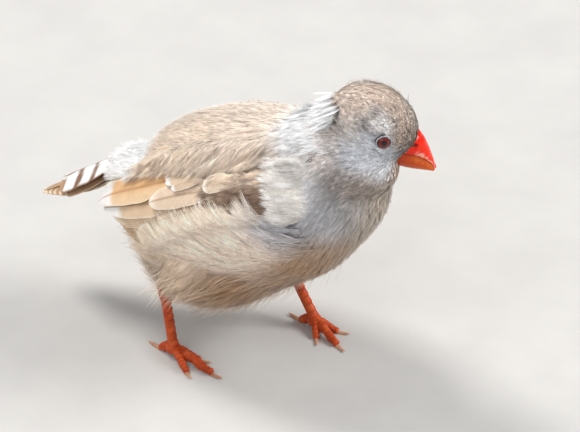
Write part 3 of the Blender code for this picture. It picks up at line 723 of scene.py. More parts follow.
def comb(roots, lengths, deep, high, sway, curl=0.0, rise=None):
    """Each feather's middle line along the coat, with the way out at each of its stations. With a
    rise, the feathers stand straight out at that slope and don't follow the coat."""
    points = roots.copy()
    _, normals = form(points, True)
    ways = lie(points, normals)
    turned = np.cross(normals, ways)
    ways = unit(ways + turned * sway[:, None])
    lines, outs = [points], [normals]
    for step in range(1, STATIONS):
        share = step / (STATIONS - 1)
        points = points + ways * (lengths / (STATIONS - 1))[:, None]
        if rise is not None:
            points = points + normals * (lengths / (STATIONS - 1) * rise)[:, None]
            lines.append(points)
            outs.append(normals)
            continue
        level = deep + (high - deep) * share**0.8
        for _ in range(2):
            distance, normals = form(points, True)
            points = points + (level - distance)[:, None] * normals
        flow = lie(points, normals)
        side = np.cross(normals, flow)
        ways = unit(ways * 0.5 + flow * 0.5 + side * (sway * 0.5 + curl * share)[:, None])
        ways = unit(ways - normals * (ways * normals).sum(1, keepdims=True))
        lines.append(points)
        outs.append(normals)
    return np.stack(lines, 1), np.stack(outs, 1)


def station_weights(share):
    """Each station's weight at a share of the way along a feather, running on past its tip."""
    place = share * (STATIONS - 1)
    base = min(max(int(math.floor(place)), 0), STATIONS - 2)
    weights = np.zeros(STATIONS)
    weights[base] = 1 - (place - base)
    weights[base + 1] = place - base
    return weights


def outline(share):
    """A body feather's half width along it, as a share of its greatest."""
    return (0.35 + 0.65 * ease(share / 0.45)) * math.sqrt(max(1 - max((share - 0.5) / 0.52, 0) ** 2.2, 0.02))


def feather_plan(barbs, web_width, web_end, barb_width, barb_reach, first_barb):
    """One feather's template: for each vertex its share along, its share across, its offset along in mm,
    its lift, and which barb it is on, then the triangles."""
    rows, faces = [], []
    web = np.linspace(0.0, web_end, 4)
    for share in web[:-1]:
        rows.append((share, -web_width * outline(share), 0.0, 0.0, 0))
        rows.append((share, web_width * outline(share), 0.0, 0.0, 0))
    rows.append((web_end, 0.0, 0.0, 0.0, 0))
    for k in range(len(web) - 2):
        a = 2 * k
        faces += [(a, a + 3, a + 1), (a, a + 2, a + 3)]
    a = 2 * (len(web) - 2)
    faces.append((a, a + 2, a + 1))
    barb = 1
    for hand in (-1, 1):
        for k in range(barbs):
            start = first_barb + (0.9 - first_barb) * (k + 0.5) / barbs
            run = barb_reach * (1.0 - 0.5 * start)
            middle, end = start + run * 0.45, start + run
            wide = outline(min(start + run * 0.6, 0.97)) * (0.35 + 0.65 * (1 - k / barbs))
            base = len(rows)
            thin = barb_width
            rows.append((start, hand * (0.03 - thin), 0.0, 0.02, barb))
            rows.append((start, hand * (0.03 + thin), 0.0, 0.02, barb))
            rows.append((middle, hand * (wide * 0.66 - thin), 0.0, 0.05, barb))
            rows.append((middle, hand * (wide * 0.66 + thin), 0.0, 0.05, barb))
            rows.append((end, hand * wide * 1.0, 0.0, 0.03, barb))
            if hand > 0:
                faces += [(base, base + 3, base + 1), (base, base + 2, base + 3), (base + 2, base + 4, base + 3)]
            else:
                faces += [(base, base + 1, base + 3), (base, base + 3, base + 2), (base + 2, base + 3, base + 4)]
            barb += 1
    return np.array(rows), np.array(faces), barb


def grow(name, finish, lines, outs, half_widths, plan, slot="plumage_body", colours=None, tint=0.07, shaded_root=0.8,
         web_shade=0.16, barb_tint=0.13, ragged=0.12, tip_light=1.06, band=0.0):
    """Feathers along middle lines, as pieces of fewer than 200,000 triangles each. band darkens each
    feather just behind its pale tip, and each is darker towards its root as painted shade under the feathers over it."""
    rows, faces, barb_count = plan
    count = len(lines)
    share, across, along_mm, lift, barb = rows.T
    barb = barb.astype(int)
    weights = np.array([station_weights(s) for s in share])
    ways = unit(np.gradient(lines, axis=1))
    sides = unit(np.cross(outs, ways))
    if colours is None:
        flat = lines.reshape(-1, 3)
        colours = plumage(flat)[0].reshape(count, STATIONS, 3)
    per_piece = 190000 // len(faces)
    pieces = []
    for number, start in enumerate(range(0, count, per_piece)):
        pick = slice(start, min(start + per_piece, count))
        size = pick.stop - pick.start
        jitter = random.normal(0, 1, (size, barb_count, 3))
        jitter[:, 0] = 0
        move = jitter[:, barb]
        reach = np.minimum(np.abs(across) * 1.5, 1) * (np.abs(across) > 0.1)
        middle = np.einsum("vk,nkx->nvx", weights, lines[pick])
        way = np.einsum("vk,nkx->nvx", np.clip(weights, 0, 1), ways[pick])
        side = np.einsum("vk,nkx->nvx", np.clip(weights, 0, 1), sides[pick])
        out = unit(np.einsum("vk,nkx->nvx", np.clip(weights, 0, 1), outs[pick]))
        half = half_widths[pick][:, None]
        spread = half * across * (1 + ragged * move[:, :, 0] * reach)
        length = np.linalg.norm(lines[pick, -1] - lines[pick, 0], axis=1)[:, None]
        push = along_mm + ragged * 0.6 * length * move[:, :, 1] * reach * 0.5
        raise_ = lift * half * 1.6 + 0.05 * half * move[:, :, 2] * reach - 0.10 * half * across**2
        points = middle + side * spread[..., None] + way * push[..., None] + out * raise_[..., None]
        normals = out + side * (0.55 * across)[None, :, None] + way * (0.15 * (share - 0.4))[None, :, None]
        tone = 1 + tint * random.normal(0, 1, (size, 1)) - web_shade * (barb == 0)
        tone = tone + barb_tint * np.clip(move[:, :, 2], -2, 2) * (barb > 0)
        # Painted shade: each feather darker towards its root, where the feathers over it cover it.
        tone = tone * (shaded_root + (1 - shaded_root) * ease(share / 0.55))
        tone = tone * (1 + (tip_light - 1) * ease((share - 0.6) / 0.4)) * (1 - band * np.exp(-((share - 0.66) / 0.16) ** 2))
        colour = np.einsum("vk,nkx->nvx", np.clip(weights, 0, 1), colours[pick]) * tone[..., None]
        place = unwrap(lines[pick, 0])
        patch = np.stack([0.0014 * np.clip(across, -1, 1), 0.003 * (np.clip(share, 0, 1) - 0.5)], 1)
        uv = place[:, None, :] + patch[None]
        index = faces[None] + (np.arange(size) * len(rows))[:, None, None]
        obj = mesh_object(f"{name}_{number}", points.reshape(-1, 3), index.reshape(-1, 3), normals.reshape(-1, 3),
                          colour.reshape(-1, 3), {"OFBake": uv.reshape(-1, 2)})
        pieces.append(place_piece(obj, finish))
    return pieces


def wing_coordinates(points):
    """Along the body and round it from the back's middle line, in mm, as the wings are placed."""
    local = (points - WING_CENTRE) @ WING_AXES
    return local[:, 0], np.arctan2(np.abs(local[:, 1]), local[:, 2]) * WING_RADIUS


def clear_of_hard_parts(points, margin=0.0):
    """True where a feather may grow: not at the bill, in an eye, or well under a folded wing."""
    free = np.ones(len(points), bool)
    for side in (-1, 1):
        place, way = eye_frame(side)
        arm = points - place
        far = np.linalg.norm(arm - (arm @ way)[:, None] * way, axis=1)
        free &= (far > LID_RADIUS + 0.12 + margin) | (np.linalg.norm(arm, axis=1) > 4)
    local = (points - HEAD_CENTRE) @ HEAD
    over_bill = (local[:, 0] > bill_edge(local[:, 1], local[:, 2]))
    free &= ~over_bill
    free &= before_tail(points) > 1.8
    along, round_ = wing_coordinates(points)
    free &= ~((along > -17) & (along < 11) & (round_ > 15.3) & (round_ < 19.5) & (head_share(points) < 0.02))
    return free


def bill_edge(left, up):
    """How far forward the feathers reach round the bill's base, in the head's axes."""
    gape = np.exp(-((up + 2.2) / 1.6) ** 2)
    return 8.0 + 0.2 * gape - 0.22 * np.clip(np.abs(left) - 1.0, 0, 3) - 0.9 * ease((-3.2 - up) / 2.0)


def make_coat(skin, quads, soft):
    """The body's feathers, region by region, from the smallest on the face to the longest behind."""
    head_finish = plume_material("head_plumage", 1500.0, (0.80, 1.12))
    raw = scatter(skin, quads, 420000)
    raw = raw[clear_of_hard_parts(raw)]
    share = head_share(raw)
    local = (raw - HEAD_CENTRE) @ HEAD
    face = np.exp(-((local[:, 0] - 8) ** 2 + 0.4 * local[:, 1] ** 2 + 0.25 * (local[:, 2] - 1) ** 2) / 22.0) * share
    fine_scales = feather_plan(3, 0.75, 0.9, 0.10, 0.5, 0.2)
    short = feather_plan(5, 0.55, 0.78, 0.075, 0.62, 0.15)
    middling = feather_plan(6, 0.5, 0.75, 0.065, 0.66, 0.12)
    long = feather_plan(7, 0.5, 0.74, 0.055, 0.66, 0.1)
    head_look = {"tint": 0.22, "barb_tint": 0.2, "web_shade": 0.18, "shaded_root": 0.62, "tip_light": 1.16, "band": 0.3}
    face_look = {"tint": 0.32, "barb_tint": 0.16, "web_shade": 0.0, "shaded_root": 0.55, "tip_light": 1.5, "band": 0.7}
    neck_look = {"tint": 0.09, "barb_tint": 0.16, "web_shade": 0.16, "shaded_root": 0.75, "tip_light": 1.1}
    body_look = {"tint": 0.05, "barb_tint": 0.11, "web_shade": 0.12, "shaded_root": 0.84, "tip_light": 1.06}
    layers = (
        # name, which points, spacing, width share, plan, level at the tip, sway, finish, look
        ("face", face > 0.3, 0.48, 0.34, fine_scales, 0.03, 0.12, head_finish, face_look),
        ("head", (share > 0.5) & (face <= 0.3), 0.76, 0.27, short, 0.12, 0.13, head_finish, head_look),
        ("neck", (share <= 0.5) & (share > 0.02), 0.74, 0.23, middling, 0.16, 0.09, soft, neck_look),
        ("body", share <= 0.02, 0.90, 0.22, long, 0.18, 0.06, soft, body_look),
    )
    for name, where, spacing, width, plan, high, sway, finish, look in layers:
        chosen = raw[where]
        chosen = chosen[one_per_cell(chosen, spacing)]
        lengths = plumage(chosen)[1] * random.uniform(0.82, 1.15, len(chosen))
        above = ease((chosen[:, 2] - 31.0) / 4.0)
        lengths = np.clip(lengths, 1.2, np.maximum(before_tail(chosen) - 0.6 - 3.0 * above, 1.25))
        roots = settle(chosen, -coat_depth(chosen))
        tips = high * random.normal(0.5, 0.7, len(chosen))
        lines, outs = comb(roots, lengths, -coat_depth(roots) - 0.05, tips, random.normal(0, sway, len(chosen)))
        order = np.argsort(unwrap(roots)[:, 1])
        slot = "plumage_head" if name in ("face", "head") else "plumage_body"
        grow("coat_" + name, finish, lines[order], outs[order], (lengths * width)[order], plan, slot, **look)
    loose_hairs(raw, share, face, soft)
    make_tuft(soft)


def make_tuft(finish):
    """White feathers from the back of the crown that hang over the crease at the nape."""
    steps = np.linspace(0, 1, STATIONS)
    groups = (
        # name, count, half width, plan, darkest tone at the root, as painted shade
        ("broad", 110, 0.60, feather_plan(7, 0.45, 0.66, 0.06, 0.6, 0.15), 0.62),
        ("thin", 90, 0.05, feather_plan(0, 1.0, 1.0, 0.0, 0.0, 0.0), 0.5),
    )
    for name, count, half, plan, darkest in groups:
        left = random.uniform(-2.0, 3.6, count)
        start = np.stack([-7.0 + 0 * left, left, random.uniform(3.6, 7.0, count)], 1)
        roots = settle(HEAD_CENTRE + start @ HEAD.T, np.full(count, -0.3))
        run = np.stack([-random.uniform(2.8, 4.8, count), 0.2 * left + random.normal(0, 0.6, count),
                        -random.uniform(1.6, 3.8, count)], 1) @ HEAD.T
        lines = roots[:, None, :] + steps[None, :, None] * run[:, None, :]
        flat = lines.reshape(-1, 3)
        stray = np.repeat(random.uniform(0.2, 0.9, count), STATIONS)
        level = np.maximum(form(flat)[0], stray * np.tile(ease(steps / 0.6), count) - 0.3)
        lines = settle(flat, level).reshape(lines.shape)
        outs = unit(np.array([-0.45, 0.0, 1.0]) + 0.18 * np.stack([0 * left, left, 0 * left], 1) / 2) @ HEAD.T
        outs = np.repeat(outs[:, None, :], STATIONS, axis=1)
        base = plumage(roots)[0][:, None, :]
        pale = ease((steps - 0.1) / 0.4)[None, :, None]
        colours = base * (1 - pale) + linear(PALETTE["nape tuft"]) * pale
        grow("tuft_" + name, finish, lines, outs, half * random.uniform(0.7, 1.3, count), plan, colours=colours,
             tint=0.12, shaded_root=darkest, web_shade=0.1, tip_light=1.1)


def loose_hairs(raw, share, face, finish):
    """Single fine barbs that stand a little clear of the coat, most at the belly, vent and nape."""
    blade = feather_plan(0, 1.0, 1.0, 0.0, 0.0, 0.0)
    low = ease((33.0 - raw[:, 2]) / 12.0)
    vent = ease((-12.0 - raw[:, 0]) / 10.0) * low
    past = (raw - HEAD_BASE[0]) @ HEAD_BASE[1]
    local = (raw - HEAD_CENTRE) @ HEAD
    crown = share * ease((local[:, 2] - 6.0) / 4.0)
    skirt = np.exp(-(((raw[:, 0] + 8.0) / 9.0) ** 2 + ((raw[:, 2] - 15.0) / 6.0) ** 2)) * (share < 0.02)
    open_vane = feather_plan(8, 0.3, 0.5, 0.045, 0.6, 0.2)
    behind = share * ease(-local[:, 0] / 4.0) * ease((local[:, 2] + 3.0) / 4.0) * ease((past + 0.5) / 1.5)
    hind = behind * np.exp(-((past - 1.8) / 2.2) ** 2)
    white = linear(PALETTE["nape tuft"])
    wide = feather_plan(6, 0.4, 0.62, 0.06, 0.6, 0.15)
    scale = feather_plan(5, 0.7, 0.86, 0.09, 0.5, 0.2)
    groups = (
        # name, how likely each point is, count, length share, half width, level at the tip, stray, rise
        ("all", 0.25 + 0 * low, 14000, 0.95, 0.055, 0.20, 0.14, None, blade),
        ("head", share * (face < 0.3), 9000, 0.9, 0.045, 0.10, 0.07, None, blade),
        ("belly", low * (share < 0.02), 7000, 1.0, 0.045, 0.3, 0.45, None, blade),
        ("fluff", low**2 * (share < 0.02), 3200, 1.15, 0.055, 1.0, 1.2, None, blade),
        ("skirt", skirt, 900, 1.0, 0.06, 0.0, 0.0, 0.24, blade),
        ("thigh", skirt, 420, 0.95, 0.9, 0.6, 0.5, None, open_vane),
        ("vent", vent, 2600, 1.05, 0.045, 0.6, 1.0, None, blade),
        ("rump", np.exp(-((before_tail(raw) - 4.0) / 4.0) ** 2) * (1 - low), 1600, 0.9, 0.05, 0.7, 0.5, None, blade),
        ("nape", hind, 420, 1.25, 0.05, 0.0, 0.0, 0.16, blade),
        ("tuft", hind, 420, 1.35, 0.8, 0.0, 0.0, 0.07, wide),
        ("crown", crown, 900, 0.95, 0.06, 0.5, 0.4, None, blade),
        ("scales", share * (face < 0.3) * ease((local[:, 2] - 3.0) / 3.0), 620, 0.85, 0.72, 0.15, 0.07, None, scale),
        ("brow", share * ease((local[:, 2] - 2.0) / 2.0) * (local[:, 0] < 4.0), 460, 1.0, 0.3, 0.15, 0.1, None, scale),
        ("ridge", crown, 260, 0.95, 0.62, 0.0, 0.0, 0.08, scale),
    )
    for name, weight, count, reach, half, high, stray, rise, plan in groups:
        picked = random.choice(len(raw), count, p=weight / weight.sum(), replace=False)
        chosen = raw[picked]
        lengths = np.maximum(plumage(chosen)[1], 1.4) * reach * random.uniform(0.7, 1.3, count)
        above = ease((chosen[:, 2] - 31.0) / 4.0)
        lengths = np.clip(lengths, 1.2, np.maximum(before_tail(chosen) + 0.2 - 3.0 * above, 1.25))
        roots = settle(chosen, -0.4 + 0 * lengths)
        tips = high * 0.6 + stray * np.abs(random.normal(0, 1, count))
        lift = None if rise is None else rise * random.uniform(0.2, 1.6, count)
        lines, outs = comb(roots, lengths, -0.35, tips, random.normal(0, 0.14, count), rise=lift)
        order = np.argsort(unwrap(roots)[:, 1])
        colours = None
        if name in ("fluff", "skirt", "vent", "thigh"):
            mix = 0.4 if name == "skirt" else 0.12
            colours = (1 - mix) * plumage(lines.reshape(-1, 3))[0] + mix * linear(PALETTE["flank hair"])
            colours = colours.reshape(count, STATIONS, 3)[order]
        if name in ("nape", "tuft"):
            pale = 0.95 * ease((3.2 - np.abs(past[picked] - 0.6)) / 1.4)[:, None, None]
            colours = plumage(roots)[0][:, None, :] * (1 - pale) + white * pale + np.zeros((1, STATIONS, 1))
            colours = colours[order]
        grow("hair_" + name, finish, lines[order], outs[order], half * random.uniform(0.7, 1.3, count), plan,
             colours=colours, tint=0.24 if plan is scale else 0.14, shaded_root=0.5 if plan is scale else 0.8,
             web_shade=-0.08 if plan is blade else 0.1, tip_light=1.4 if plan is scale else 1.12,
             band=0.4 if plan is scale else 0.0)


# Bill, eyes

def on_line(line, t):
    """A point at share t along a line of points in the head's middle plane."""
    line = np.array(line)
    lengths = np.r_[0.0, np.cumsum(np.linalg.norm(np.diff(line, axis=0), axis=1))]
    return np.array([np.interp(t * lengths[-1], lengths, line[:, k]) for k in (0, 1)])


def bill_arc(t, half, sides, root=None):
    """One mandible's cross-section from its left cutting edge over to its right, at share t."""
    up = 1.0 if half == "upper" else -1.0
    outer = on_line(RIDGE if half == "upper" else KEEL, t)
    along = on_line(EDGE, min(t + 0.02, 1.0)) - on_line(EDGE, t - 0.02)
    base = on_line(EDGE, t) + up * np.array([-along[1], along[0]]) / np.linalg.norm(along) * BILL_SEAM * 0.4
    reach = outer - base
    tall = np.linalg.norm(reach)
    reach = reach / tall * max(tall, 0.42)
    width = (BILL_HALF_WIDTH if half == "upper" else BILL_HALF_WIDTH * 0.9) * (1 - t) ** 0.75 + 0.32
    arc = []
    for i in range(sides + 1):
        angle = math.pi * i / sides
        place = base + reach * math.sin(angle) ** 0.85
        arc.append(head_point(place[0] if root is None else root, width * math.cos(angle), place[1]))
    return arc


def ring_quads(rings, count):
    """Quads between closed rings of count points."""
    faces = []
    for ring in range(rings - 1):
        for i in range(count):
            a, b = ring * count + i, ring * count + (i + 1) % count
            faces.append((a, b, b + count, a + count))
    return faces


def make_mandible(name, half, finish, tip_colour, root_colour):
    """One mandible, finer than its solid, with a pale cutting edge and, above, its nostrils, darkened inside as painted
    shade.
    """
    sides, stations = 44, 72
    rings = [bill_arc(0.0, half, sides, root=BILL_ROOT)]
    shares = [0.0]
    for i in range(stations):
        t = 0.985 * i / (stations - 1)
        rings.append(bill_arc(t, half, sides))
        shares.append(t)
    count = sides + 1
    points = np.array([p for ring in rings for p in ring])
    faces = ring_quads(len(rings), count)
    t = np.repeat(shares, count)
    round_ = np.tile(np.arange(count) / sides, len(rings))
    edge = np.minimum(round_, 1 - round_)
    middle = np.repeat(np.array([np.mean(ring, axis=0) for ring in rings]), count, axis=0)
    out = unit(points - middle)
    local = (points - HEAD_CENTRE) @ HEAD
    colour = linear(root_colour) * (1 - t[:, None]) + linear(tip_colour) * t[:, None]
    if half == "upper":
        for side in (1, -1):
            forward, left, up = NOSTRIL
            far = np.hypot((local[:, 0] - forward) / 0.90, (local[:, 2] - up) / 0.62)
            shaded_hole = ease(1.25 - far) * (local[:, 1] * side > 0)
            rim = np.exp(-((far - 1.25) / 0.3) ** 2) * (local[:, 1] * side > 0)
            points = points - out * (0.75 * shaded_hole)[:, None] + out * (0.06 * rim)[:, None]
            # Painted shade: the nostrils darkened inside.
            colour = colour * (1 - 0.93 * shaded_hole[:, None])
    groove = np.exp(-((edge - 0.06) / 0.03) ** 2) * ease((0.9 - t) / 0.3) * ease(t / 0.15)
    points = points - out * (0.05 * groove)[:, None]
    chips = 0.4 + 0.6 * ease(0.55 + 0.6 * np.sin(t * 37 + 1.7 * np.sin(t * 23)))
    pale = np.exp(-((edge - 0.045 - 0.02 * np.sin(t * 37)) / 0.05) ** 2) * ease((t - 0.15) / 0.2) * chips
    flaky = linear((255, 206, 184) if half == "upper" else (250, 140, 70))
    strength = 0.9 if half == "upper" else 0.45
    colour = colour * (1 - strength * pale[:, None]) + flaky * strength * pale[:, None]
    uv = np.stack([0.05 + 0.9 * round_, 0.05 + 0.9 * np.repeat(np.arange(len(rings)) / len(rings), count)], 1)
    cap = len(points)
    points = np.r_[points, [np.mean(rings[0], axis=0)], [np.mean(rings[-1], axis=0)]]
    colour = np.r_[colour, colour[:1], colour[-1:]]
    uv = np.r_[uv, uv[:1], uv[-1:]]
    last = (len(rings) - 1) * count
    quads = [tuple(f[::-1]) for f in faces]
    triangles = [(q[0], q[1], q[2]) for q in quads] + [(q[0], q[2], q[3]) for q in quads]
    triangles += [(cap, i, (i + 1) % count) for i in range(count)]
    triangles += [(cap + 1, last + (i + 1) % count, last + i) for i in range(count)]
    if half == "lower":
        triangles = [f[::-1] for f in triangles]
    obj = mesh_object(name, points, triangles, colours=colour, uvs={"OFBake": uv})
    return place_piece(obj, finish, [name])


def make_bill():
    upper = bill_material("bill_upper_horn", (0.74, 0.030, 0.004), (0.84, 0.07, 0.008), (0.60, 0.018, 0.004))
    lower = bill_material("bill_lower_horn", (0.62, 0.085, 0.005), (0.74, 0.15, 0.010), (0.48, 0.04, 0.004))
    make_mandible("bill_upper", "upper", upper, (238, 42, 12), (220, 30, 10))
    make_mandible("bill_lower", "lower", lower, (234, 104, 12), (168, 50, 8))


def eye_material(name, centre, way):
    """A dark red iris round a black pupil, by distance from the eye's own axis, under a clear coat."""
    made, nodes, links, shader = new_material(name)
    where = object_place(nodes)
    middle = nodes.new("ShaderNodeVectorMath")
    middle.operation = "SUBTRACT"
    links.new(where, middle.inputs[0])
    middle.inputs[1].default_value = tuple(to_model(centre))
    cross = nodes.new("ShaderNodeVectorMath")
    cross.operation = "CROSS_PRODUCT"
    links.new(middle.outputs[0], cross.inputs[0])
    cross.inputs[1].default_value = tuple(way)
    far = nodes.new("ShaderNodeVectorMath")
    far.operation = "LENGTH"
    links.new(cross.outputs[0], far.inputs[0])
    scaled = nodes.new("ShaderNodeMath")
    scaled.operation = "MULTIPLY"
    links.new(far.outputs["Value"], scaled.inputs[0])
    scaled.inputs[1].default_value = 1 / (EYE_RADIUS * MM)
    tint = ramp(nodes, links, scaled.outputs[0], (
        (0.0, (0.010, 0.008, 0.010)), (0.25, (0.008, 0.005, 0.006)), (0.30, (0.075, 0.009, 0.009)),
        (0.45, (0.17, 0.014, 0.014)), (0.60, (0.12, 0.006, 0.007)), (0.72, (0.010, 0.003, 0.003)),
    ))
    streak = noise(nodes, links, where, 2600.0, 3.0)
    shade = ramp(nodes, links, streak, ((0.3, (0.7, 0.7, 0.7)), (0.7, (1.25, 1.2, 1.2))))
    links.new(mixed(nodes, links, 1.0, tint, shade, "MULTIPLY"), shader.inputs["Base Color"])
    shader.inputs["Roughness"].default_value = 0.3
    shader.inputs["Specular IOR Level"].default_value = 0.25
    shader.inputs["Coat Weight"].default_value = 0.35
    shader.inputs["Coat Roughness"].default_value = 0.03
    return made


def make_eye(side, lid_finish):
    """The eyeball with its bulging cornea, and the beaded rim of its lids."""
    place, way = eye_frame(side)
    centre = place - way * EYE_SINK
    across = unit(np.cross(way, [0.0, 0.0, 1.0]))
    up = np.cross(across, way)
    rings, around = 40, 48
    points = [centre + way * EYE_RADIUS * 1.03]
    for i in range(1, rings):
        lean = math.pi * i / rings
        radius = EYE_RADIUS * (1 + 0.03 * math.exp(-(lean / 0.5) ** 2))
        for j in range(around):
            angle = 2 * math.pi * j / around
            out = math.cos(lean) * way + math.sin(lean) * (math.cos(angle) * across + math.sin(angle) * up)
            points.append(centre + radius * out)
    points.append(centre - way * EYE_RADIUS)
    faces = []
    for i in range(rings - 2):
        for j in range(around):
            a, b = 1 + i * around + j, 1 + i * around + (j + 1) % around
            faces += [(a, b, b + around), (a, b + around, a + around)]
    last = len(points) - 1
    for j in range(around):
        faces.append((0, 1 + (j + 1) % around, 1 + j))
        faces.append((last, last - around + j, last - around + (j + 1) % around))
    faces = np.array(faces)
    centroid = np.array(points)[faces].mean(1) - centre
    normal = np.cross(np.array(points)[faces[:, 1]] - np.array(points)[faces[:, 0]],
                      np.array(points)[faces[:, 2]] - np.array(points)[faces[:, 0]])
    wrong = (centroid * normal).sum(1) < 0
    faces[wrong] = faces[wrong][:, ::-1]
    eye = mesh_object("eye_" + SIDE_NAMES[side], np.array(points), faces)
    place_piece(eye, eye_material("eye_" + SIDE_NAMES[side], centre, way), ["eye_" + SIDE_NAMES[side]])

    beads, sides_count = 120, 12
    points, colours = [], []
    for i in range(beads):
        angle = 2 * math.pi * i / beads
        out = math.cos(angle) * across + math.sin(angle) * 0.94 * up
        radius = LID_RADIUS - 0.14 + 0.05 * math.cos(angle) ** 2
        middle = settle((place + out * radius)[None], -0.02, 4, False)[0]
        _, normal = form(middle[None])
        thick = 0.20 * (1 + 0.2 * abs(math.sin(angle * 13)))
        for j in range(sides_count):
            turn = 2 * math.pi * j / sides_count
            height = thick * (0.95 * math.cos(turn) * out + math.sin(turn) * normal[0])
            points.append(middle + height)
            inner = ease((-math.cos(turn) + 0.1) / 0.5)
            outer = ease((math.cos(turn) - 0.35) / 0.5) * (0.55 + 0.45 * math.sin(angle * 9 + 2 * math.sin(angle * 5)))
            pale = np.array(linear((190, 186, 190))) * (0.9 + 0.1 * math.sin(angle * 26))
            colours.append(pale * (1 - 0.86 * inner) * (1 - 0.7 * outer))
    faces = []
    for i in range(beads):
        for j in range(sides_count):
            a, b = i * sides_count + j, i * sides_count + (j + 1) % sides_count
            c = ((i + 1) % beads) * sides_count + (j + 1) % sides_count
            d = ((i + 1) % beads) * sides_count + j
            faces.append((a, b, c, d))
    lids = mesh_object("lids_" + SIDE_NAMES[side], np.array(points), np.array(faces), colours=np.array(colours))
    place_piece(lids, lid_finish)


# Wings and tail

def wing_place(along, round_, height, side):
    """A point of the wing in mm: along the body, round it from the back's middle line, and above it."""
    along, round_, height = (np.asarray(v, float) for v in (along, round_, height))
    half_length = np.where(along > 0, WING_FRONT_LENGTH, WING_BACK_LENGTH)
    share = np.sqrt(np.clip(1 - np.square(along / half_length), 0.08, 1))
    angle = round_ / WING_RADIUS
    forward, left, up = WING_AXES.T
    out = np.sin(angle)[..., None] * side * left + np.cos(angle)[..., None] * up
    place = WING_CENTRE + along[..., None] * forward + (WING_RADIUS * share)[..., None] * out
    normal = unit(out + (along / half_length**2 * WING_RADIUS / share)[..., None] * forward)
    place = place + height[..., None] * normal
    flat = place.reshape(-1, 3)
    short = np.clip(BODY_CLEARANCE + height.reshape(-1) - form(flat)[0], 0, None)
    return (flat + short[:, None] * normal.reshape(-1, 3)).reshape(place.shape)


def tail_place(along, round_, height):
    """A point of the tail: along is back from its root, round_ is to the left, height is up."""
    along, round_, height = (np.asarray(v, float) for v in (along, round_, height))
    forward, left, up = TAIL_AXES.T
    sag = 0.0015 * np.square(along)
    arch = 0.04 * np.square(round_)
    return TAIL_BASE[0] - along[..., None] * forward + round_[..., None] * left + (height - sag - arch)[..., None] * up


VANE_STATIONS, VANE_ACROSS = 30, 13


def vane_shape(root, tip, width, lift, bow=0.0, blunt=0.35, tilt=0.0, near_share=0.5, seed=0):
    """A flight feather's flat plan: (along, round, height) of a grid of points, and its (s, c) shares."""
    draw = np.random.default_rng(seed)
    root, tip = np.array(root, float), np.array(tip, float)
    way = tip - root
    length = np.linalg.norm(way)
    way = way / length
    across = np.array([-way[1], way[0]])
    s = 1 - (1 - np.linspace(0, 1, VANE_STATIONS)) ** 1.3
    c = np.linspace(-1, 1, VANE_ACROSS)
    grow_in = 0.4 + 0.6 * ease(s / 0.5)
    end = np.clip((s - (1 - blunt)) / blunt, 0, None)
    half = width / 2 * grow_in * np.sqrt(np.clip(1 - end**2.2, 0.0004, 1))
    wobble = 1 + 0.02 * np.sin(s * draw.uniform(20, 34) + draw.uniform(0, 6)) * ease(s / 0.3)
    half = half * wobble
    middle = root + way * (length * s)[:, None] + across * (bow * 4 * s * (1 - s))[:, None]
    sway = np.where(c < 0, 2 * near_share, 2 * (1 - near_share))
    edge = middle[:, None, :] + across * (half[:, None] * (c * sway))[..., None]
    level = lift[0] + (lift[1] - lift[0]) * s[:, None] + tilt * c[None, :] * half[:, None] / (width / 2)
    level = level - 0.12 * (c[None, :] ** 2) * half[:, None] / (width / 2)
    level = level + 0.035 * np.exp(-((c[None, :]) / 0.08) ** 2)
    return edge[..., 0], edge[..., 1], level, s, c, length


def vanes(name, finish, place, feathers, thickness=0.14, replaced=()):
    """Many flight feathers as one piece of closed thin blades. Each feather is a dict of its shape
    and a paint function that gives its colours from the shares along and across it."""
    points, faces, colours, bake, barbs = [], [], [], [], []
    columns = int(math.ceil(math.sqrt(len(feathers) * 2.2)))
    rows = int(math.ceil(len(feathers) / columns))
    count = 0
    for number, feather in enumerate(feathers):
        shape = dict(feather)
        paint = shape.pop("paint")
        along, round_, level, s, c, length = vane_shape(seed=number, **shape)
        top = place(along, round_, level)
        low = place(along, round_, level - thickness)
        grid = np.concatenate([top.reshape(-1, 3), low.reshape(-1, 3)])
        one = VANE_STATIONS * VANE_ACROSS
        index = np.arange(one).reshape(VANE_STATIONS, VANE_ACROSS)
        quads = np.stack([index[:-1, :-1], index[1:, :-1], index[1:, 1:], index[:-1, 1:]], -1).reshape(-1, 4)
        loop = np.concatenate([index[:, 0], index[-1, 1:], index[::-1, -1][1:], index[0, ::-1][1:-1]])
        after = np.roll(loop, -1)
        walls = np.stack([loop, loop + one, after + one, after], -1)
        everything = np.concatenate([quads, quads[:, ::-1] + one, walls])
        first = top[1, 0] - top[0, 0]
        second = top[0, 1] - top[0, 0]
        _, out = form(top[:1, 0])
        if np.cross(first, second) @ out[0] < 0:
            everything = everything[:, ::-1]
        points.append(grid)
        faces.append(everything + count)
        shares, sides = np.meshgrid(s, c, indexing="ij")
        colour = paint(shares, sides).reshape(-1, 3)
        # Painted shade: the underside takes the same colours 10% darker.
        colours += [colour, colour * 0.9]
        column, row = number % columns, number // columns
        for layer in (0, 1):
            u = (column + 0.04 + 0.44 * (sides + 1) / 2 + 0.5 * layer) / columns
            v = (row + 0.03 + 0.94 * shares) / rows
            bake.append(np.stack([u, v], -1).reshape(-1, 2))
            barbs.append(np.stack([shares * length, sides * shape["width"] / 2], -1).reshape(-1, 2))
        count += len(grid)
    obj = mesh_object(name, np.concatenate(points), np.concatenate(faces), colours=np.concatenate(colours),
                      uvs={"OFBake": np.concatenate(bake), "Barbs": np.concatenate(barbs)})
    obj.data.set_sharp_from_angle(angle=math.radians(70))
    return place_piece(obj, finish, replaced)


def spread(count):
    return [i / max(count - 1, 1) for i in range(count)]


def lerp(a, b, t):
    return tuple(np.array(a, float) * (1 - t) + np.array(b, float) * t)


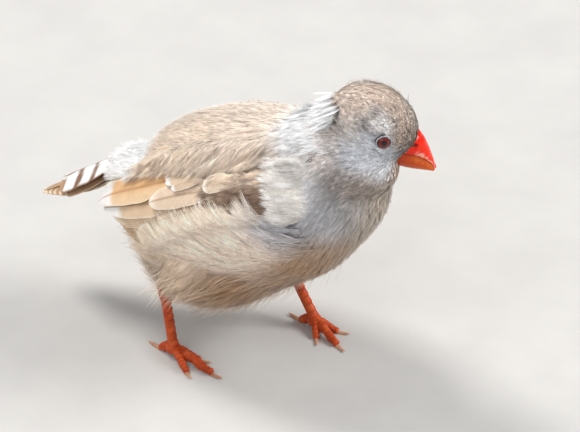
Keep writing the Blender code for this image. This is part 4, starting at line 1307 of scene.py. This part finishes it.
def painted(base, tip, edge=None, tip_from=0.85, tip_soft=0.08, edge_from=0.8, shaft=None, near=None):
    """A paint function: a base colour, a pale tip, pale edges, and painted shade towards the root."""
    base_, tip_ = linear(base), linear(tip)
    edge_ = linear(edge) if edge is not None else None
    near_ = linear(near) if near is not None else None
    shaft_ = linear(shaft) if shaft is not None else None

    def paint(s, c):
        colour = np.broadcast_to(base_, s.shape + (3,)).copy()
        if near_ is not None:
            share = ease((-c + 0.2) / 0.8)[..., None]
            colour = colour * (1 - share) + near_ * share
        rim = np.sqrt(np.clip(1 - np.abs(c) ** 2, 0, 1))
        share = ease((s + 0.06 * (1 - rim) - tip_from) / tip_soft)[..., None]
        colour = colour * (1 - share) + tip_ * share
        if edge_ is not None:
            share = 0.8 * ease((np.abs(c) - edge_from) / (1 - edge_from))[..., None] * ease(s / 0.3)[..., None]
            colour = colour * (1 - share) + edge_ * share
        if shaft_ is not None:
            share = 0.75 * np.exp(-((c / 0.09) ** 2))[..., None]
            colour = colour * (1 - share) + shaft_ * share
        # Painted shade: darker towards the root, where the feather lies under the ones over it.
        return colour * (0.86 + 0.14 * ease(s / 0.4))[..., None]

    return paint


def make_wing(side, finish):
    """A folded wing: flight feathers, three broad tertials with pale tips, and coverts over their roots."""

    def place(along, round_, height):
        return wing_place(along, round_, height, side)

    brown, tan = (182, 154, 126), (206, 176, 144)
    cream, white = (250, 238, 218), (252, 250, 247)
    feathers = []

    def one(root, tip, width, lift, paint, bow=0.4, tilt=-0.2, blunt=0.35):
        feathers.append({"root": root, "tip": tip, "width": width, "lift": lift, "bow": bow, "tilt": tilt,
                         "blunt": blunt, "paint": paint})

    def row(count, root_a, root_b, tip_a, tip_b, width, lift, bow, paint):
        for t in spread(count):
            one(lerp(root_a, root_b, t), lerp(tip_a, tip_b, t), width, (lift[0] + 0.12 * t, lift[1] + 0.25 * t),
                paint, bow, -0.22)

    row(8, (4.0, 22.0), (2.0, 17.5), (-20.5, 28.6), (-26.5, 20.8), 4.4, (0.1, 0.2), 0.9,
        painted(brown, (214, 186, 150), (206, 178, 144), 0.94, shaft=(120, 90, 66), near=(176, 142, 106)))
    row(7, (3.0, 19.5), (-1.0, 16.0), (-25.5, 21.8), (-28.6, 18.8), 5.0, (0.4, 0.4), 0.7,
        painted(tan, (246, 230, 206), (230, 206, 174), 0.9, shaft=(150, 118, 88)))
    one((-3.0, 10.2), (-19.0, 9.6), 5.0, (0.7, 0.6), painted((214, 190, 162), cream, (236, 218, 194), 0.86, 0.1))
    one((-1.0, 17.4), (-31.6, 16.6), 6.4, (0.75, 0.8),
        painted((222, 188, 150), white, (248, 234, 214), 0.73, 0.08, shaft=(152, 110, 74), near=(230, 200, 166)), -0.9)
    one((-2.5, 13.6), (-34.4, 12.9), 6.9, (1.15, 1.35),
        painted((228, 182, 130), white, (250, 230, 200), 0.745, 0.06, shaft=(186, 132, 84), near=(240, 206, 164)), -1.1)
    row(6, (8.0, 23.5), (7.4, 19.4), (-9.0, 26.0), (-11.8, 20.8), 4.3, (0.7, 1.1), 0.4,
        painted((194, 164, 134), (222, 198, 172), (204, 180, 152), 0.88, 0.1, shaft=(150, 122, 94)))
    one((7.0, 20.5), (-11.5, 21.8), 4.4, (1.0, 1.45),
        painted((208, 178, 148), (232, 210, 184), (216, 194, 168), 0.88, 0.1, shaft=(160, 130, 102)))
    one((6.5, 17.4), (-13.2, 18.0), 4.8, (1.15, 1.75),
        painted((234, 210, 184), (248, 236, 218), (242, 228, 208), 0.86, 0.12, shaft=(172, 138, 106)))
    one((5.0, 12.2), (-9.0, 13.2), 4.4, (1.1, 1.6),
        painted((220, 192, 162), (238, 220, 198), (232, 212, 188), 0.86, 0.12, shaft=(196, 166, 136)))
    row(3, (10.6, 22.2), (10.2, 19.4), (-0.6, 23.4), (0.4, 20.4), 3.6, (1.2, 1.8), 0.3,
        painted((186, 158, 132), (214, 194, 172), (212, 192, 170), 0.9, 0.08, shaft=(150, 122, 98)))
    one((10.0, 18.6), (0.6, 19.5), 3.7, (1.4, 2.0),
        painted((210, 188, 164), white, (246, 240, 234), 0.9, 0.08, shaft=(180, 152, 126)))
    one((10.0, 16.0), (2.0, 16.5), 3.7, (1.5, 2.15),
        painted((224, 204, 180), (246, 236, 222), (240, 226, 208), 0.84, 0.12, shaft=(200, 176, 150)))
    one((3.0, 13.8), (-8.2, 14.6), 3.0, (1.6, 1.95),
        painted((222, 198, 170), white, (244, 232, 216), 0.86, 0.06, shaft=(198, 170, 140)))
    one((1.5, 15.2), (-6.4, 15.9), 2.6, (1.7, 2.0),
        painted((216, 192, 166), white, (240, 226, 208), 0.86, 0.06, shaft=(192, 164, 136)))
    name = "wing_" + SIDE_NAMES[side]
    vanes(name, finish, place, feathers, replaced=[name])


FLANK_EDGE = (20.9, 10.0, 0.2)


def flank_edge(along):
    """How far round the body the flank feathers' tips reach over the wing, in mm."""
    level, start, slope = FLANK_EDGE
    return level + slope * (start - along) + 1.6 * ease((along - 2.0) / 6.0)


def loose_rows(side, finish, vane_finish):
    """Body feathers that lie over a folded wing: scapulars from above, flank feathers from below, breast
    feathers from the front, and small soft coverts on the wing's front."""
    word = SIDE_NAMES[side]
    soft_vane = feather_plan(7, 0.5, 0.70, 0.055, 0.62, 0.12)
    open_vane = feather_plan(8, 0.3, 0.5, 0.045, 0.55, 0.2)
    hair = feather_plan(0, 1.0, 1.0, 0.0, 0.0, 0.0)
    rows = (
        # name, count, where along, run back, height at root and tip, stray height, half width, bend, plan
        ("lesser", 420, (5.0, 19.0), (3.6, 5.2), (0.5, 1.75), 0.3, 0.95, 1.0, open_vane),
        ("scapular", 380, (-14.0, 17.0), (5.5, 8.0), (-0.6, 2.0), 0.3, 1.3, 1.0, soft_vane),
        ("breast", 380, (21.3, 27.0), (4.6, 6.2), (-0.9, 2.0), 0.35, 0.9, 1.0, open_vane),
        ("flank", 800, (-14.0, 21.0), (6.0, 9.0), (-0.8, 1.5), 0.4, 1.4, 1.5, soft_vane),
        ("fringe", 360, (-15.0, 16.0), (3.0, 5.5), (0.6, 2.3), 0.8, 1.0, 1.3, open_vane),
        ("hair", 900, (-13.0, 17.0), (3.4, 7.5), (0.8, 2.5), 0.9, 0.06, 1.6, hair),
    )
    for name, count, along, run, height, stray, half, bend, plan in rows:
        share = random.random(count)
        start = along[0] + (along[1] - along[0]) * random.random(count)
        back = run[0] + (run[1] - run[0]) * random.random(count)
        edge = flank_edge(start - back)
        if name == "lesser":
            root_round, end_round = 14.6 + 8.0 * share, 15.2 + 7.4 * share
        elif name == "scapular":
            root_round = 4.0 + 6.0 * share
            end_round = 9.6 + 2.2 * share + 2.0 * ease((start + 6.0) / 10.0)
        elif name == "breast":
            root_round = 12.5 + 15.0 * share
            end_round = 12.5 + 12.0 * share
        elif name == "flank":
            root_round, end_round = edge + 6.0 + 9.0 * share, edge + 0.6 + 8.0 * share
        else:
            reach = 2.4 if name == "fringe" else 5.0 - 3.4 * ease(start / 6.0)
            root_round, end_round = edge + 1.5 + 3.0 * share, edge - reach * share - 0.6 * (name == "hair")
        end_round = end_round + random.normal(0, 0.45, count)
        lift = height[1] + stray * np.clip(random.normal(0, 1, count), -1.8, 1.0)
        if name == "flank":
            lift = lift * ease((33.0 - end_round) / 8.0)
        elif name == "scapular":
            lift = lift - 1.1 * ease((start - 5.0) / 8.0)
        steps = np.linspace(0, 1, STATIONS)
        line_along = start[:, None] - back[:, None] * steps
        line_round = root_round[:, None] + (end_round - root_round)[:, None] * steps**bend
        level = height[0] + (lift - height[0])[:, None] * ease(steps / 0.9)
        if name == "scapular":
            level = np.minimum(level, -0.6 + 2.9 * ease((line_round - 7.4) / 2.8))
        lines = wing_place(line_along, line_round, level, side)
        outs = unit(wing_place(line_along, line_round, level + 0.5, side) - lines)
        if name == "breast":
            over = ease((22.5 - line_along) / 3.5).reshape(-1, 1)
            flat = settle(lines.reshape(-1, 3), np.tile(0.5 * ease(steps) - 0.4, count), 3)
            lines = (flat * (1 - over) + lines.reshape(-1, 3) * over).reshape(lines.shape)
        order = np.argsort(-start)
        widths = half * random.uniform(0.8, 1.2, count)
        colours = None
        if name in ("lesser", "breast"):
            tint = linear(PALETTE["lesser covert" if name == "lesser" else "breast side"])
            paler = 0.8 * ease((18.2 - end_round) / 1.8)[:, None, None] * (name == "lesser")
            blotch = 1 + 0.12 * ripple(lines.reshape(-1, 3), 3.0, 12).reshape(count, STATIONS)
            colours = (tint * (1 - paler) + linear(PALETTE["mantle low"]) * paler) * blotch[..., None]
            colours = colours[order]
        elif name in ("fringe", "hair"):
            colours = 0.6 * plumage(lines.reshape(-1, 3))[0] + 0.4 * linear(PALETTE["flank hair"])
            colours = colours.reshape(count, STATIONS, 3)[order]
        grow(f"{name}_{word}", finish, lines[order], outs[order], widths, plan, colours=colours, tip_light=1.12,
             tint=0.16 if name == "lesser" else 0.08, web_shade=0.1 if half > 0.1 else -0.1,
             shaded_root=0.6 if name == "lesser" else 0.8)

    def place(along, round_, height):
        return wing_place(along, round_, height, side)

    plain = painted((232, 214, 192), (246, 236, 222), (244, 232, 216), 0.9, 0.08, shaft=(214, 192, 166))
    scapular = painted((216, 194, 170), (236, 220, 200), (232, 214, 192), 0.9, 0.08, shaft=(188, 162, 136))
    single = (
        {"root": (-4.5, 32.0), "tip": (-17.5, 23.2), "width": 5.2, "lift": (0.2, 1.9), "blunt": 0.2, "paint": plain},
        {"root": (-10.0, 34.0), "tip": (-22.0, 28.0), "width": 4.6, "lift": (0.0, 0.9), "blunt": 0.2, "paint": plain},
        {"root": (4.0, 10.6), "tip": (-6.6, 11.5), "width": 3.2, "lift": (1.2, 2.3), "blunt": 0.16,
         "paint": scapular},
    )
    vanes("single_" + word, vane_finish, place, single)


def banded(bands, length, dark, pale, border, tip, tip_from):
    """A paint function: pale bands between dark bars, at places in mm back from the tail's root, curved
    back towards the feather's edges, and a plain end with a pale tip."""
    dark_, pale_, border_, tip_ = linear(dark), linear(pale), linear(border), linear(tip)

    def paint(s, c):
        back = s * length - 0.6 * c - 0.9 * c**2
        share = np.zeros(s.shape)
        rim = np.zeros(s.shape)
        for start, end in bands:
            share = np.maximum(share, ease((back - start) / 0.35) * ease((end - back) / 0.35))
            rim = np.maximum(rim, np.exp(-((back - start) / 0.3) ** 2) + np.exp(-((back - end) / 0.3) ** 2))
        share = share * ease((1.02 - np.abs(c)) / 0.22)
        plain = ease((s - 0.78) / 0.14)[..., None]
        ground = dark_ * (1 - plain) + linear((188, 146, 110)) * plain
        colour = ground * (1 - share[..., None]) + pale_ * share[..., None]
        rim = 0.45 * np.clip(rim, 0, 1)[..., None]
        colour = colour * (1 - rim) + border_ * rim
        end_share = ease((s - tip_from) / 0.05)[..., None]
        return colour * (1 - end_share) + tip_ * end_share

    return paint


def make_tail(finish):
    """The tail feathers, with long banded coverts above them and plain ones below."""
    feathers = []
    for number, t in enumerate(spread(12)):
        hand = 2 * t - 1
        level = -0.6 + 0.5 * (1 - abs(hand))
        end = 23.4 - 9.5 * abs(hand) ** 1.3
        feathers.append({"root": (1.0, hand * 2.2), "tip": (end, hand * 3.8), "width": 3.4, "lift": (level, level),
                         "tilt": -0.3 * np.sign(hand), "blunt": 0.28,
                         "paint": painted((192, 152, 114), (252, 238, 214), (214, 184, 148), 0.955, 0.03,
                                          shaft=(128, 92, 62))})
    dark, pale, border, tip = (138, 98, 70), (252, 251, 250), (112, 76, 52), (222, 196, 160)
    far_bands = ((1.4, 4.2), (7.4, 10.4), (13.2, 16.4), (18.4, 21.0))
    near_bands = ((0.2, 3.5), (4.3, 7.9), (8.6, 12.3), (13.5, 17.4))
    coverts = (
        # root's and tip's place to the left, length, width, height at root and tip, pale bands
        (3.5, 4.1, 12.5, 4.2, (1.0, 0.2), near_bands),
        (0.4, 0.5, 17.0, 4.6, (1.3, 0.6), far_bands),
        (2.0, 2.2, 17.5, 5.0, (1.6, 0.9), far_bands),
        (-1.9, -3.0, 14.8, 6.2, (2.2, 0.9), near_bands),
    )
    for left_root, left_tip, length, width, lift, bands in coverts:
        feathers.append({"root": (-4.0, left_root), "tip": (length, left_tip), "width": width, "lift": lift,
                         "tilt": -0.35 * np.sign(left_root), "blunt": 0.22,
                         "paint": banded(bands, length + 4.0, dark, pale, border, tip, 0.975)})
    for number, t in enumerate(spread(6)):
        hand = 2 * t - 1
        feathers.append({"root": (0.5, hand * 1.6), "tip": (12.5 - 2.0 * abs(hand), hand * 2.6), "width": 4.2,
                         "lift": (-2.0, -1.4), "tilt": 0.2 * np.sign(hand),
                         "paint": painted((222, 202, 174), (246, 236, 220))})
    vanes("tail", finish, tail_place, feathers, replaced=["tail"])


# Legs

def tube(centres, radii, sides, shape=None):
    """A closed tube through centres in mm. shape(share along, angle from its top) scales the radius there."""
    centres = np.array(centres, float)
    ways = unit(np.gradient(centres, axis=0))
    points, ups = [], []
    side = np.array([0.0, 1.0, 0.0])
    for number, (centre, way, radius) in enumerate(zip(centres, ways, radii)):
        side = unit(side - way * (side @ way))
        up = np.cross(way, side)
        up = up if up[2] >= 0 or abs(way[2]) > 0.8 else up
        for i in range(sides):
            angle = 2 * math.pi * i / sides
            out = math.cos(angle) * side + math.sin(angle) * up
            grow_by = shape(number / (len(centres) - 1), out) if shape else 1.0
            points.append(centre + radius * grow_by * out)
            ups.append(out)
    faces = [f for f in ring_quads(len(centres), sides)]
    triangles = [(a, b, c) for a, b, c, d in faces] + [(a, c, d) for a, b, c, d in faces]
    first, last = len(points), len(points) + 1
    points += [centres[0] - ways[0] * radii[0] * 0.25, centres[-1] + ways[-1] * radii[-1] * 0.25]
    ups += [-ways[0], ways[-1]]
    end = (len(centres) - 1) * sides
    for i in range(sides):
        triangles.append((first, (i + 1) % sides, i))
        triangles.append((last, end + i, end + (i + 1) % sides))
    points, triangles, ups = np.array(points), np.array(triangles), np.array(ups)
    corner = points[triangles]
    normal = np.cross(corner[:, 1] - corner[:, 0], corner[:, 2] - corner[:, 0])
    if ((normal * ups[triangles[:, 0]]).sum(1)).sum() < 0:
        triangles = triangles[:, ::-1]
    return points, triangles, ups


def toe_path(start, tip, arch, radius, steps):
    """A toe's middle line: up from the foot joint, arched, and down onto the floor at its tip."""
    floor = np.array([tip[0], tip[1], radius - 0.12])
    path = []
    for i in range(steps):
        t = i / (steps - 1)
        point = start * (1 - t) + floor * t
        point[2] = start[2] * (1 - t) ** 1.6 + floor[2] * (1 - (1 - t) ** 1.6) + arch * math.sin(math.pi * t) * (1 - t)
        path.append(point)
    return path


def joined(parts):
    """Several (points, triangles, colours) as one."""
    points, triangles, colours, count = [], [], [], 0
    for part_points, part_triangles, part_colours in parts:
        points.append(part_points)
        triangles.append(part_triangles + count)
        colours.append(part_colours)
        count += len(part_points)
    return np.concatenate(points), np.concatenate(triangles), np.concatenate(colours)


def scutes(length, size, front, height=0.10):
    """A tube's shape: overlapping plates on its front, size mm long, as a saw along it."""
    def shape(share, out):
        facing = ease((out @ front + 0.15) / 0.6)
        saw = (share * length / size) % 1.0
        ridge = ease(saw / 0.75) if saw < 0.75 else 1 - ease((saw - 0.75) / 0.25)
        return 1.0 + height * facing * (ridge - 0.5)
    return shape


def scute_crevice_shade(points, ups, centres, length, size, front):
    """Darker lines at the joints between the plates of a tube: painted shade in the crevices."""
    share = np.array([np.linalg.norm(centres - p, axis=1).argmin() for p in points]) / (len(centres) - 1)
    saw = (share * length / size) % 1.0
    facing = ease((ups @ front + 0.15) / 0.6)
    line = np.exp(-(np.minimum(saw, 1 - saw) / 0.10) ** 2) * facing
    # Painted shade in the crevices between the plates.
    tone = 1.0 - 0.35 * line
    return np.clip(tone, 0, 1)[:, None] * np.ones(3)


def make_leg(side, finish, claw_finish):
    """The bare leg below its feathers: shank with plates in front, foot with ringed toes and pads, and claws."""
    word = SIDE_NAMES[side]
    knee, ankle, foot = KNEES[side], ANKLES[side], FEET[side]
    thigh_way = unit(ankle - knee)
    shank_way = unit(foot - ankle)
    top = thigh_line(side)[1] - thigh_way * 1.2
    steps = 70
    line = [top + (ankle - top) * s for s in np.linspace(0, 0.8, 10)]
    bend = [ankle * (1 - s) ** 2 + 2 * s * (1 - s) * ankle + (ankle + (foot - ankle) * 0.1) * s**2 for s in (0.2, 0.6)]
    rest = [ankle + (foot - ankle) * s for s in np.linspace(0.12, 0.98, steps)]
    centres = np.array(line + bend + rest)
    radii = [1.15 + 0.25 * ease(s) for s in np.linspace(0, 1, 10)] + [1.45, 1.4]
    radii += [SHANK_RADIUS * (1 + 0.22 * math.exp(-((s - 0.12) / 0.1) ** 2) + 0.1 * ease((s - 0.8) / 0.2))
              for s in np.linspace(0.12, 0.98, steps)]
    front = unit(np.array([1.0, 0.0, 0.0]) - shank_way * shank_way[0])
    length = np.linalg.norm(np.diff(centres, axis=0), axis=1).sum()
    parts = []
    shank_points, shank_faces, shank_ups = tube(centres, radii, 28, scutes(length, 2.0, front, 0.12))
    parts.append((shank_points, shank_faces, scute_crevice_shade(shank_points, shank_ups, centres, length, 2.0, front)))
    up = np.array([0.0, 0.0, 1.0])
    for toe, tip in TOES[side].items():
        tip = np.array([tip[0], tip[1], 0.0])
        run = tip - foot
        run[2] = 0.0
        way = unit(run)
        end = tip - way * (CLAW_LENGTH[toe] + 0.5)
        radius = TOE_RADIUS[toe]
        start = foot + way * 0.2 - np.array([0.0, 0.0, 0.5])
        path = toe_path(start, end, 1.1, radius * 0.85, 46)
        path += [path[-1] + way * 0.12 * k for k in (1, 2, 3)]
        path = np.array(path)
        toe_length = np.linalg.norm(np.diff(path, axis=0), axis=1).sum()
        share = np.linspace(0, 1, len(path))
        radii = radius * (1.08 - 0.3 * share) * (1 + 0.05 * np.cos(2 * math.pi * 3 * share))
        radii[-3:] *= (0.94, 0.82, 0.6)
        plate = scutes(toe_length, 0.95, up, 0.12)

        def shape(along, out, plate=plate):
            under = ease((-out[2] - 0.1) / 0.7)
            pad = 0.16 * (0.5 + 0.5 * math.cos(2 * math.pi * (3 * along - 0.1)))
            return plate(along, out) * (1 + pad * under)

        points, faces, ups = tube(path, radii, 22, shape)
        points[:, 2] = np.maximum(points[:, 2], 0.0)
        parts.append((points, faces, scute_crevice_shade(points, ups, path, toe_length, 0.95, up)))
        make_claw(f"claw_{toe}_{word}", end + way * 0.25, way, CLAW_LENGTH[toe] + 0.05, radius * 0.56, claw_finish)
    ball_points, ball_faces = ico_points(4)
    joint = foot - np.array([0.0, 0.0, 0.45]) + ball_points * (1.7, 1.55, 1.4)
    joint[:, 2] = np.maximum(joint[:, 2], 0.0)
    parts.append((joint, ball_faces, np.ones((len(joint), 3))))
    points, triangles, colours = joined(parts)
    obj = mesh_object("leg_" + word, points, triangles, colours=colours)
    place_piece(obj, finish, ["shank_" + word, "foot_" + word])


def make_claw(name, start, way, length, radius, finish):
    """A curved, tapering claw, horn-coloured and darker along its top."""
    path, radii = [], []
    for t in np.linspace(0, 1, 26):
        point = start + way * length * t
        point[2] = start[2] + 1.15 * t**2 * (1 - t) + (0.40 - start[2]) * t**2.4
        path.append(point)
        radii.append(radius * (1 - t) ** 0.75 + 0.05)
    points, faces, ups = tube(path, radii, 16)
    points[:, 2] = np.maximum(points[:, 2], 0.0)
    top = ease((ups[:, 2] + 0.2) / 1.0)
    share = np.clip(((points - start) @ way) / length, 0, 1)
    tone = 1 - 0.25 * top * (1 - share)
    obj = mesh_object(name, points, faces, colours=tone[:, None] * np.ones(3))
    place_piece(obj, finish, [name])


# Stage

def make_stage():
    """A plain pale floor."""
    half = 1.6
    mesh = bpy.data.meshes.new("floor")
    mesh.from_pydata([(-half, -half, 0), (half, -half, 0), (half, half, 0), (-half, half, 0)], [], [(0, 1, 2, 3)])
    floor = bpy.data.objects.new("floor", mesh)
    bpy.context.scene.collection.objects.link(floor)
    made, nodes, links, shader = new_material("floor")
    grain = noise(nodes, links, object_place(nodes), 60.0, 3.0)
    tint = ramp(nodes, links, grain, ((0.3, (0.50, 0.49, 0.475)), (0.7, (0.54, 0.53, 0.51))))
    links.new(tint, shader.inputs["Base Color"])
    shader.inputs["Roughness"].default_value = 0.9
    mesh.materials.append(made)


def area_light(name, place, target, size, power, colour):
    data = bpy.data.lights.new(name, "AREA")
    data.shape = "DISK"
    data.size = size
    data.energy = power
    data.color = colour
    lamp = bpy.data.objects.new(name, data)
    bpy.context.scene.collection.objects.link(lamp)
    lamp.location = place
    lamp.rotation_euler = (Vector(target) - Vector(place)).to_track_quat("-Z", "Y").to_euler()


CAMERA_AZIMUTH, CAMERA_ELEVATION = 32.0, 32.0
CAMERA_DISTANCE = 1.15
PIXELS_PER_MM = 4.9
PHOTO_WIDTH, PHOTO_HEIGHT = 580, 432
AIM = np.array([0.0, 0.0, 34.7])
AIM_PIXEL = (267.0, 207.0)


def make_camera():
    """The camera at the photo's angle, with the photo's framing."""
    azimuth, elevation = math.radians(CAMERA_AZIMUTH), math.radians(CAMERA_ELEVATION)
    away = np.array([math.sin(azimuth) * math.cos(elevation), -math.cos(azimuth) * math.cos(elevation),
                     math.sin(elevation)])
    right = np.array([math.cos(azimuth), math.sin(azimuth), 0.0])
    up = np.cross(away, right)
    offset = right * (PHOTO_WIDTH / 2 - AIM_PIXEL[0]) - up * (PHOTO_HEIGHT / 2 - AIM_PIXEL[1])
    target = to_model(AIM + offset / PIXELS_PER_MM)
    data = bpy.data.cameras.new("camera")
    data.sensor_width = 36.0
    data.lens = data.sensor_width * CAMERA_DISTANCE / (PHOTO_WIDTH / PIXELS_PER_MM * MM)
    camera = bpy.data.objects.new("camera", data)
    bpy.context.scene.collection.objects.link(camera)
    camera.location = target + away * CAMERA_DISTANCE
    camera.rotation_euler = Vector(-away).to_track_quat("-Z", "Y").to_euler()
    bpy.context.scene.camera = camera


def make_lights():
    """A large soft key from the upper left, a wide fill from the right and a pale surround."""
    area_light("key", (-0.42, 0.04, 0.80), (0.0, 0.0, 0.03), 0.28, 5.6, (1.0, 0.98, 0.95))
    area_light("fill", (0.10, -0.75, 0.72), (0.0, 0.0, 0.03), 0.9, 4.6, (0.97, 0.98, 1.0))
    area_light("rim", (0.66, 0.36, 0.62), (0.0, 0.0, 0.04), 0.5, 7.5, (1.0, 0.99, 0.97))
    world = bpy.data.worlds.new("surround")
    bpy.context.scene.world = world
    world.use_nodes = True
    world.node_tree.nodes["Background"].inputs[0].default_value = (0.93, 0.95, 1.0, 1.0)
    world.node_tree.nodes["Background"].inputs[1].default_value = 0.36


def main():
    bpy.context.scene.view_settings.view_transform = "Standard"
    make_camera()
    make_lights()
    make_stage()
    skin, quads = make_skin()
    # Painted shade under the coat: the skin takes the coat's colours darkened to 0.72, and its material darkens them
    # further.
    finish = plume_material("skin_under_coat", 700.0, (0.7, 0.95))
    colour = plumage(skin)[0] * 0.72
    body = mesh_object("skin", skin, quads, colours=colour, uvs={"OFBake": unwrap(skin)})
    place_piece(body, finish, ["torso", "neck", "head", "thigh_left", "thigh_right"])
    soft = plume_material("soft_plumage")
    make_coat(skin, quads, soft)
    make_bill()
    lids = plume_material("lid_skin", 1800.0, (0.85, 1.05))
    vane_finish = vane_material("vane")
    leg = skin_material("leg_skin", (0.50, 0.068, 0.014), (0.64, 0.14, 0.036), (0.33, 0.038, 0.011))
    claw = skin_material("claw_horn", (0.60, 0.32, 0.20), (0.75, 0.46, 0.32), (0.40, 0.18, 0.10), 0.35)
    for side in (-1, 1):
        make_eye(side, lids)
        make_wing(side, vane_finish)
        loose_rows(side, soft, vane_finish)
        make_leg(side, leg, claw)
    make_tail(vane_finish)


main()
